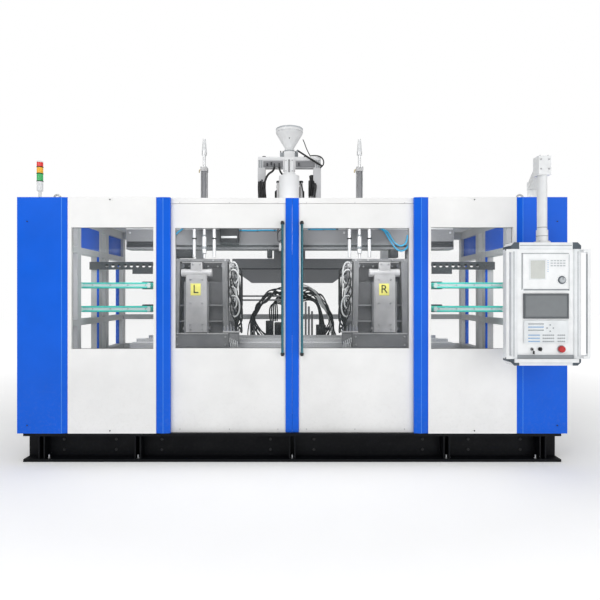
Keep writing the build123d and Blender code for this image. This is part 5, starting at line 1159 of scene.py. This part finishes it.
def service_lines():
    shelf = [bar((-0.7, 0.425, 0.96), (0.64, 0.575, 0.98), 0.003),
             bar((-0.119, 0.54, 0.9), (-0.095, 0.601, 0.962), 0.002),
             bar((0.095, 0.54, 0.9), (0.119, 0.601, 0.962), 0.002),
             bar((-0.119, 0.57, 0.958), (0.119, 0.601, 0.982), 0.002)]
    finish(shelf, "service_shelf", "dark")
    boxes = [bar((left, 0.43, 0.979), (right, 0.56, top), 0.005)
             for left, right, top in ((-0.33, -0.235, 1.18), (-0.222, -0.135, 1.16), (0.3, 0.42, 1.13))]
    finish(boxes, "service_boxes", "black_plastic")
    cover = [(0, 0), (0.034, 0), (0.034, 0.004), (0.03, 0.006), (0.012, 0.006), (0.012, 0.01), (0, 0.01)]
    covers = [turned(cover, (x, 0.43, z), "-Y", 28)
              for x, z in ((-0.283, 1.12), (-0.178, 1.1), (0.36, 1.075))]
    finish(covers, "service_covers", "dark")
    service_cables()
    runs = [rod((x, y, SHELF_TOP), (x, y, top), radius, 18, 0.003) for x, y, top, radius in (
        (-0.48, 0.5, 1.3, 0.015), (-0.516, 0.5, 1.25, 0.015),
        (0.17, 0.52, 1.42, 0.013), (0.21, 0.52, 1.36, 0.013), (0.25, 0.52, 1.3, 0.013))]
    runs += [rod((-0.7, y, z), (-COLUMN_SIDE, y, z), 0.011, 16) for y, z in ((0.47, 1.44), (0.5, 1.49))]
    finish(runs, "service_pipes", "casting")
    straps = [bar((-COLUMN_SIDE, 0.455, z), (-0.1, 0.6015, z + 0.03), 0.003) for z in (1.425, 1.475)]
    finish(straps, "service_straps", "casting_shaded_dark")


def die_head_trim():
    """Heater bands, terminal boxes and leads round the die head and its neck."""
    x, y = HEAD_X, HEAD_Y
    heights = (2.0, 2.06, 2.12, 2.18, 2.24)
    bands = [collar(0.0505, 0.0866, 0.0475, 0.0016, 0.0015, (x, y, z), 40) for z in heights]
    finish(bands, "die_heater_bands", "brushed")
    boxes = [bar((x - 0.02, y - 0.112, z + 0.008), (x + 0.02, y - 0.085, z + 0.042), 0.003) for z in heights]
    finish(boxes, "die_terminals", "dial_grey")
    leads = []
    for side, z in zip((1, -1, 1, -1, 1), heights):
        leads.append(pipe([(x, y - 0.1, z + 0.036), (x + side * 0.06, y - 0.125, z + 0.06),
                           (x + side * 0.12, y - 0.06, z + 0.01), (x + side * 0.13, y + 0.04, 2.18),
                           (x + side * 0.115, y + 0.14, 2.33), (x + side * 0.11, y + 0.2, 2.398)], 0.0055))
    finish(leads[::2], "die_leads_grey", "pale_hose")
    finish(leads[1::2], "die_leads_black", "hose")


# Roof: hopper bands, feeder, jacket of the parison cylinder, bridge fittings, cables and the drive
def roof_hopper():
    x, y = HEAD_X, 0.35
    finish(band(0.1648, 0.1664, 0.017, 0.001, (x, y, 3.524), 48), "hopper_rim", "dial_grey")
    seam = band(0.1648, 0.1658, 0.004, 0.0006, (x, y, 3.491), 48)
    flange = collar(0.0405, 0.0655, 0.012, 0.0015, 0.002, (x, y, 3.262), 36)
    finish([seam, flange], "hopper_seams", "groove_shade_and_seam_grey")
    finish(rod((x, 0.2525, 3.405), (x, 0.236, 3.401), 0.0075, 20, 0.002), "hopper_sight", "dark")
    finish(bolts(circle_of_places((x, y, 3.274), 0.053, 6, pi / 6), UP, 0.008), "hopper_bolts", "steel")
    blocks = [bar((-0.15, 0.29, 3.165), (-0.0985, 0.41, 3.24), 0.004),
              bar((0.0305, 0.29, 3.175), (0.072, 0.41, 3.235), 0.004)]
    finish(blocks, "feeder_blocks", "ledge_shadow_and_block_grey")
    stubs = [rod((x, 0.3, low), (x, 0.3, high), radius, 12, 0.002) for x, low, high, radius in (
        (-0.14, 3.238, 3.262, 0.007), (-0.11, 3.238, 3.262, 0.007),
        (0.04, 3.233, 3.258, 0.006), (0.064, 3.233, 3.258, 0.006))]
    finish(stubs, "feeder_stubs", "dark")


def roof_head():
    """White jacket with a dark strip on the head as the painted shade of a slot, its clamp, and two capped
    posts behind it.
    """
    x = HEAD_X
    jacket = bar((x - 0.05, -0.352, 2.766), (x + 0.05, -0.25, 3.0005), 0.01, 3)
    finish(jacket, "head_jacket", "cover")
    # The slot is a dark strip on the jacket's face: painted shade in place of the opening.
    slot = bar((x - 0.0085, -0.3545, 2.79), (x + 0.0085, -0.351, 2.985), 0.002)
    finish(slot, "head_slot_shade", "dark")
    gauge = rod((x, -0.357, 2.8), (x, -0.357, 2.975), 0.0042, 14, 0.001)
    places = [(x + dx, -0.352, z) for dx in (-0.034, 0.034) for z in (2.785, 2.86, 2.975)]
    finish([gauge] + screws(places, FORWARD, 0.008), "head_screws", "steel")
    clamp = [bar((x - 0.056, -0.362, 2.704), (x + 0.056, -0.24, 2.756), 0.006)]
    sides = []
    for side in (-1, 1):
        near, far = x + side * 0.052, x + side * 0.066
        clamp.append(bar((x + side * 0.056, -0.322, 2.712), (x + side * 0.082, -0.28, 2.748), 0.004))
        sides.append(bar((near, -0.335, 2.87), (far, -0.27, 2.985), 0.003))
    finish(clamp, "head_clamp", "dark")
    finish(sides, "head_side_plates", "casting_pale")
    posts, caps, y = [], [], -0.02
    for x in (-0.161, 0.104):
        posts.append(rod((x, y, DECK), (x, y, 2.806), 0.019, 24, 0.002))
        caps.append(rod((x, y, 2.8), (x, y, 2.823), 0.023, 24, 0.003))
        caps.append(rod((x, y, DECK), (x, y, 2.436), 0.028, 24, 0.003))
    beam = bar((-0.185, -0.036, 2.74), (-0.118, -0.006, 2.772), 0.003)
    finish(posts + [beam], "deck_posts", "casting_pale")
    finish(caps, "deck_post_caps", "dark")


def roof_bridge():
    """Fittings, boxes and hoses on the feed bridge, and cable bundles down its legs."""
    front, back, top, y = 0.195, 0.196, 3.16, 0.172
    cap = bar((-0.4115, front - 0.0035, 3.123), (0.3435, 0.2845, 3.1612), 0.004)
    finish(cap, "bridge_cap", "cover")
    boxes = [bar((left, front - 0.01, 3.036), (right, back, 3.108), 0.003)
             for left, right in ((-0.345, -0.11), (0.044, 0.27))]
    finish(boxes, "bridge_boxes", "beam")
    fittings = [elbow((x, front - 0.01, z), FORWARD, -0.034, 0.012)
                for x, z in ((-0.3, 3.075), (-0.25, 3.085), (-0.213, 3.07), (-0.156, 3.074), (0.08, 3.08))]
    fittings += [rod((x, 0.23, top), (x, 0.23, top + 0.018), 0.012, 6, 0.002) for x in (-0.348, -0.33, 0.15)]
    finish(fittings, "bridge_fittings", "dark")
    straps = [bar((x, front - 0.006, 3.03), (x + 0.008, back, 3.12), 0.001)
              for x in (-0.395, -0.372, 0.29, 0.315)]
    finish(straps, "bridge_straps", "groove_shade_and_seam_grey")
    hoses = [pipe([(-0.213, y, 3.03), (-0.22, y - 0.01, 2.985), (-0.29, y, 2.95), (-0.33, y + 0.01, 2.86),
                   (-0.36, 0.18, 2.7), (-0.368, 0.185, 2.425)], 0.0125, 10),
             pipe([(-0.156, y, 3.034), (-0.15, y - 0.01, 2.985), (-0.115, y, 2.94), (-0.098, y + 0.01, 2.9)],
                  0.011, 10),
             pipe([(0.212, 0.215, 3.178), (0.315, 0.18, 3.178), (0.376, 0.16, 3.12), (0.376, 0.165, 3.05),
                   (0.338, 0.19, 3.03)], 0.0075),
             pipe([(0.132, 0.33, 3.408), (0.15, 0.3, 3.36), (0.175, 0.27, 3.27), (0.212, 0.23, 3.19)],
                  0.0055)]
    arm = rod((0.058, 0.183, 3.236), (0.353, 0.178, 3.049), 0.0105, 18, 0.002)
    finish(hoses + [arm], "bridge_hoses", "hose")
    finish(bar((0.044, 0.172, 3.206), (0.07, 0.3, 3.233), 0.003), "feeder_bracket", "ledge_shadow_and_block_grey")
    bundle = []
    for n in range(5):
        x = -0.402 + 0.02 * n
        bundle.append(pipe([(x, 0.186, 2.86 + 0.012 * (n % 3)), (x - 0.006, 0.176, 2.78),
                            (x + 0.01, 0.18, 2.64), (x + 0.006 * (n - 3), 0.186, 2.5), (x, 0.19, DECK)],
                           0.0085))
    for n in range(4):
        x = 0.21 + 0.022 * n
        bundle.append(pipe([(x, 0.188, 2.93 - 0.03 * n), (x + 0.016, 0.174, 2.82), (x - 0.012, 0.18, 2.68),
                            (x + 0.008, 0.186, 2.54), (x, 0.19, DECK)], 0.0085))
    finish(bundle, "bridge_bundles", "hose")
    valves = [bar((0.196, 0.2, 2.7), (0.2535, 0.275, 2.88), 0.004),
              bar((0.214, 0.196, 2.88), (0.252, 0.27, 2.945), 0.004)]
    finish(valves, "bridge_valves", "black_plastic")
    ducts = [bar((left, front - 0.008, foot), (right, back, 3.028), 0.004)
             for left, right, foot in ((-0.4135, -0.3205, 2.858), (0.2525, 0.3455, 2.64))]
    finish(ducts, "bridge_ducts", "grey")


def roof_drive():
    """Fins and terminal box of the extruder's motor, gearbox bolts and barrel leads."""
    low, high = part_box("extruder_drive")
    x, z = (low.x + high.x) / 2, low.z + 0.235
    fin = bar((x - 0.003, 0.94, z + 0.15), (x + 0.003, 1.15, z + 0.16), 0.001, 1)
    spread = [radians(15 * step) for step in range(24) if not 10 <= step <= 14]
    fins = turn_copies(fin, (x, 0, z), "Y", spread)
    bpy.data.objects.remove(fin)
    finish(fins, "motor_fins", "dark")
    finish(bar((x - 0.06, 0.98, z + 0.152), (x + 0.06, 1.11, z + 0.2195), 0.006), "motor_terminals", "dark")
    heads = [(x + dx, 0.6198, low.z + dz) for dx in (-0.16, 0.16) for dz in (0.05, 0.16, 0.32)]
    finish(bolts(heads, FORWARD, 0.012), "gearbox_bolts", "steel")
    places = (-0.1, 0.03)
    boxes = [bar((-0.02, y, 2.802), (0.03, y + 0.05, 2.836), 0.003) for y in places]
    finish(boxes, "barrel_terminals", "dial_grey")
    leads = [pipe([(0.03, y + 0.025, 2.82), (0.09, y + 0.03, 2.83), (0.13, y + 0.06, 2.7),
                   (0.14, y + 0.1, 2.52), (0.17, y + 0.14, DECK)], 0.006) for y in places]
    finish(leads, "barrel_leads", "hose")


# Ends: blue strips beside the posts, conveyor edges, motors and covers, tray cables
CONVEYOR_FEET = (1.313, 1.582)


def end_trim():
    for name, side in SIDES.items():
        strips = [mirrored_bar(side, (2.43, 1.2425, 0.823), (2.4764, 1.2465, 2.284), 0.001),
                  mirrored_bar(side, (2.3735, 0.3452, 0.823), (2.401, 0.3495, 2.036), 0.001),
                  mirrored_bar(side, (2.408, 0.6805, 2.0365), (2.414, 1.246, 2.284), 0.001)]
        finish(strips, f"end_strips_{name}", "blue")
        edges, motors, covers, heads = [], [], [], []
        for foot in CONVEYOR_FEET:
            z = foot + 0.034
            edges += [mirrored_bar(side, (1.64, -0.1535, low), (2.432, -0.1495, low + 0.017), 0.0015)
                      for low in (foot + 0.0005, foot + 0.0465)]
            motors.append(mirrored_bar(side, (1.64, 0.0505, z - 0.045), (1.76, 0.15, z + 0.045), 0.006))
            covers.append(rod((side * 1.7, 0.149, z), (side * 1.7, 0.215, z), 0.04, 28, 0.006))
            covers.append(mirrored_bar(side, (1.61, 0.0505, z - 0.032), (1.64, 0.08, z + 0.032), 0.004))
            heads += [(side * x, -0.15, z) for x in (1.66, 1.86, 2.06, 2.26, 2.4)]
        finish(edges, f"belt_edges_{name}", "belt")
        finish(motors, f"conveyor_motors_{name}", "dark")
        finish(covers, f"conveyor_covers_{name}", "casting_mid")
        finish(screws(heads, FORWARD, 0.009), f"conveyor_screws_{name}", "steel")
        cables = []
        for n in range(3):
            runs = ((1.61, 0.34 + 0.002 * n, 1.868 + 0.01 * n), (1.85, 0.334, 1.866 + 0.012 * n),
                    (2.1, 0.342, 1.872 + 0.009 * n), (2.37, 0.338, 1.866 + 0.011 * n))
            cables.append(pipe([(side * x, y, z) for x, y, z in runs], 0.0065))
        finish(cables, f"tray_cables_{name}", "hose")
        clamps = [bar((side * x - 0.01, 0.3265, 1.858), (side * x + 0.01, 0.35, 1.908), 0.002)
                  for x in (1.62, 1.86, 2.1, 2.34)]
        finish(clamps, f"tray_clamps_{name}", "tray")


# Rear and sides: vents, a supply box, screws and lifting eyes
REAR_FACE = 1.3
VENT_PITCH = 0.024


def rear_trim():
    back = REAR_FACE
    vents = [bar((x - 0.17, back - 0.001, 0.43), (x + 0.17, back + 0.01, 0.67), 0.003) for x in (-1.85, 1.85)]
    finish(vents, "rear_vent_frames", "grey")
    slat = bar((-0.15, back + 0.006, -0.006), (0.15, back + 0.0165, 0.006), 0.002, 1)
    slats = repeat(slat, [(x, 0, 0.455 + VENT_PITCH * step) for x in (-1.85, 1.85) for step in range(9)])
    finish(slats, "rear_vent_slats", "dark")
    box = bar((0.3, back - 0.001, 0.36), (0.66, back + 0.047, 0.72), 0.006)
    lid = bar((0.31, back + 0.046, 0.37), (0.65, back + 0.0495, 0.71), 0.001)
    finish([box, lid], "supply_box", "grey")
    switch = [rod((0.4, back + 0.049, 0.54), (0.4, back + 0.0498, 0.54), 0.03, 28, 0.0001),
              bar((0.39, back + 0.048, 0.505), (0.41, back + 0.0499, 0.575), 0.0003, 1),
              bar((0.56, back + 0.048, 0.5), (0.59, back + 0.0499, 0.58), 0.0003, 1)]
    finish(switch, "supply_switch", "black_plastic")
    glands = [rod((x, back + 0.024, 0.362), (x, back + 0.024, 0.335), 0.016, 16, 0.003)
              for x in (0.36, 0.42, 0.48, 0.54, 0.6)]
    finish(glands, "supply_glands", "black_plastic")
    heads = [(x, back, z) for x in (-2.2, -1.4, -0.6, 0.1, 0.9, 1.4, 2.2) for z in (0.345, 0.73)]
    finish(screws(heads, BACKWARD, 0.008), "rear_screws", "steel")
    for name, side in SIDES.items():
        places = [(side * 2.427, y, z) for y in (-1.15, -0.75, -0.35, 0.1, 0.9, 1.2) for z in (0.345, 0.725)]
        finish(screws(places, (side, 0, 0), 0.008), f"end_screws_{name}", "steel")
        rivets = [mirrored_bar(side, (2.4745, y - 0.006, z - 0.006), (2.4768, y + 0.006, z + 0.006), 0.001)
                  for y in (-1.33, -1.215) for z in (0.3, 0.95, 1.65, 2.34)]
        finish(rivets, f"corner_rivets_{name}", "steel")
        vent = mirrored_bar(side, (2.426, 0.81, 0.42), (2.436, 1.09, 0.64), 0.003)
        finish(vent, f"end_vent_frame_{name}", "grey")
        slat = mirrored_bar(side, (2.433, 0.82, -0.006), (2.442, 1.08, 0.006), 0.002, 1)
        slats = repeat(slat, [(0, 0, 0.445 + VENT_PITCH * step) for step in range(8)])
        finish(slats, f"end_vent_slats_{name}", "dark")
    turns = [radians(30 * step) for step in range(13)]
    hoop = [(0.03 + 0.009 * cos(turn), 0.009 * sin(turn)) for turn in turns]
    eyes = []
    for x in (-2.25, 2.18):
        for y in (-1.05, 1.2):
            eyes.append(rod((x, y, 2.3845), (x, y, 2.4), 0.024, 24, 0.003))
            eyes.append(turned(hoop, (x, y, 2.432), "Y", 28))
    finish(eyes, "lifting_eyes", "steel")


def base_trim():
    """Bolts on the webs of the front and rear base beams, and levelling screws with their lock nuts."""
    web = 1.237
    places = [(x, z) for x in (-2.1, -1.62, -1.2, -0.2, 0.2, 1.2, 1.62, 2.1) for z in (0.08, 0.176)]
    heads = bolts([(x, -web, z) for x, z in places], FORWARD, 0.013)
    heads += bolts([(x, web, z) for x, z in places], BACKWARD, 0.013)
    finish(heads, "base_bolts", "black_plastic")
    feet = []
    for x in (-2.2, -1.394, 0, 1.394, 2.2):
        for y in (-1.322, 1.322):
            feet.append(rod((x, y, 0.0235), (x, y, 0.06), 0.008, 14, 0.001))
            feet.append(rod((x, y, 0.0235), (x, y, 0.034), 0.015, 6, 0.002))
    finish(feet, "levelling_screws", "steel")


# Camera, light and floor
CAMERA_PLACE = (0, -5.99, 1.503)
CAMERA_LENS = 30.93
CAMERA_SHIFT = (0.013, -0.0083)
SKY_SEEN = 1.0
SKY_LIGHT = 0.4
FLOOR_GLOW = 0.16
FLOOR_GLOW_FAR = 0.62
INSIDE_POWER = 5.0
END_POWER = 3.5
FLOOR_DROP = 0.0006


def set_camera():
    camera = bpy.data.objects.new("camera", bpy.data.cameras.new("camera"))
    camera.location = CAMERA_PLACE
    camera.rotation_euler = (pi / 2, 0, 0)
    camera.data.lens = CAMERA_LENS
    camera.data.shift_x, camera.data.shift_y = CAMERA_SHIFT
    bpy.context.scene.collection.objects.link(camera)
    bpy.context.scene.camera = camera


def soft_light(name, place, target, size, power):
    """A square soft light aimed at a point, not seen itself."""
    light = bpy.data.lights.new(name, "AREA")
    light.size = size
    light.energy = power
    lamp_object = bpy.data.objects.new(name, light)
    lamp_object.location = place
    lamp_object.visible_camera = False
    aim = Vector(target) - Vector(place)
    lamp_object.rotation_euler = aim.to_track_quat("-Z", "Y").to_euler()
    bpy.context.scene.collection.objects.link(lamp_object)


def set_studio():
    """White surroundings that light less than they show, soft lights, and a plain pale floor."""
    scene = bpy.context.scene
    scene.view_settings.view_transform = "Standard"
    world = bpy.data.worlds.new("studio")
    world.use_nodes = True
    tree = world.node_tree
    sky = tree.nodes["Background"]
    sky.inputs["Color"].default_value = (1, 1, 1, 1)
    seen = tree.nodes.new("ShaderNodeLightPath")
    feed(sky, Strength=between(seen.outputs["Is Camera Ray"], SKY_LIGHT, SKY_SEEN, 0.0, 1.0))
    scene.world = world
    soft_light("key", (-3.5, -7.0, 6.0), (0, -1, 1.3), 5.0, 198)
    soft_light("fill", (5.0, -6.5, 3.0), (0, -1, 1.3), 5.0, 115)
    soft_light("top", (0, 0.5, 7.5), (0, 0, 0), 6.0, 170)
    for number, x in enumerate((-1.75, -0.58, 0.58, 1.75)):
        soft_light(f"inside_{number}", (x, -1.1, 2.22), (x, 0.2, 1.3), 0.8, INSIDE_POWER)
    for side in (-1, 1):
        soft_light(f"inside_end_{side}", (side * 1.35, -0.55, 2.2), (side * 2.4, 0.1, 1.75), 0.5, END_POWER)
    let_go()
    bpy.ops.mesh.primitive_plane_add(size=60, location=(0, 0, -FLOOR_DROP))
    floor = settle(bpy.context.object)
    floor.name = "floor"
    material, shader, where = new_look("pale_floor", Roughness=0.7, Emission_Color=(1, 1, 1, 1))
    tone = blended(cloud(where, 3.0), srgb(250, 250, 250), srgb(246, 246, 246))
    distance = where.id_data.nodes.new("ShaderNodeVectorMath")
    distance.operation = "LENGTH"
    where.id_data.links.new(where, distance.inputs[0])
    glow = between(distance.outputs["Value"], FLOOR_GLOW, FLOOR_GLOW_FAR, 3.0, 8.0)
    feed(shader, Base_Color=tone, Emission_Strength=glow)
    floor.data.materials.append(material)


dress_solids()
signal_tower()
door_strips()
door_handles()
window_rubber()
panel_screws()
sheet_fold_highlights()
pendant_trim()
for station, side in SIDES.items():
    clamp_lever(station, side)
    clamp_frame_trim(station, side)
    clamp_fittings(station, side)
    platen_trim(station)
    blow_station(station)
beam_trim()
service_lines()
die_head_trim()
roof_hopper()
roof_head()
roof_bridge()
roof_drive()
end_trim()
rear_trim()
base_trim()
set_camera()
set_studio()
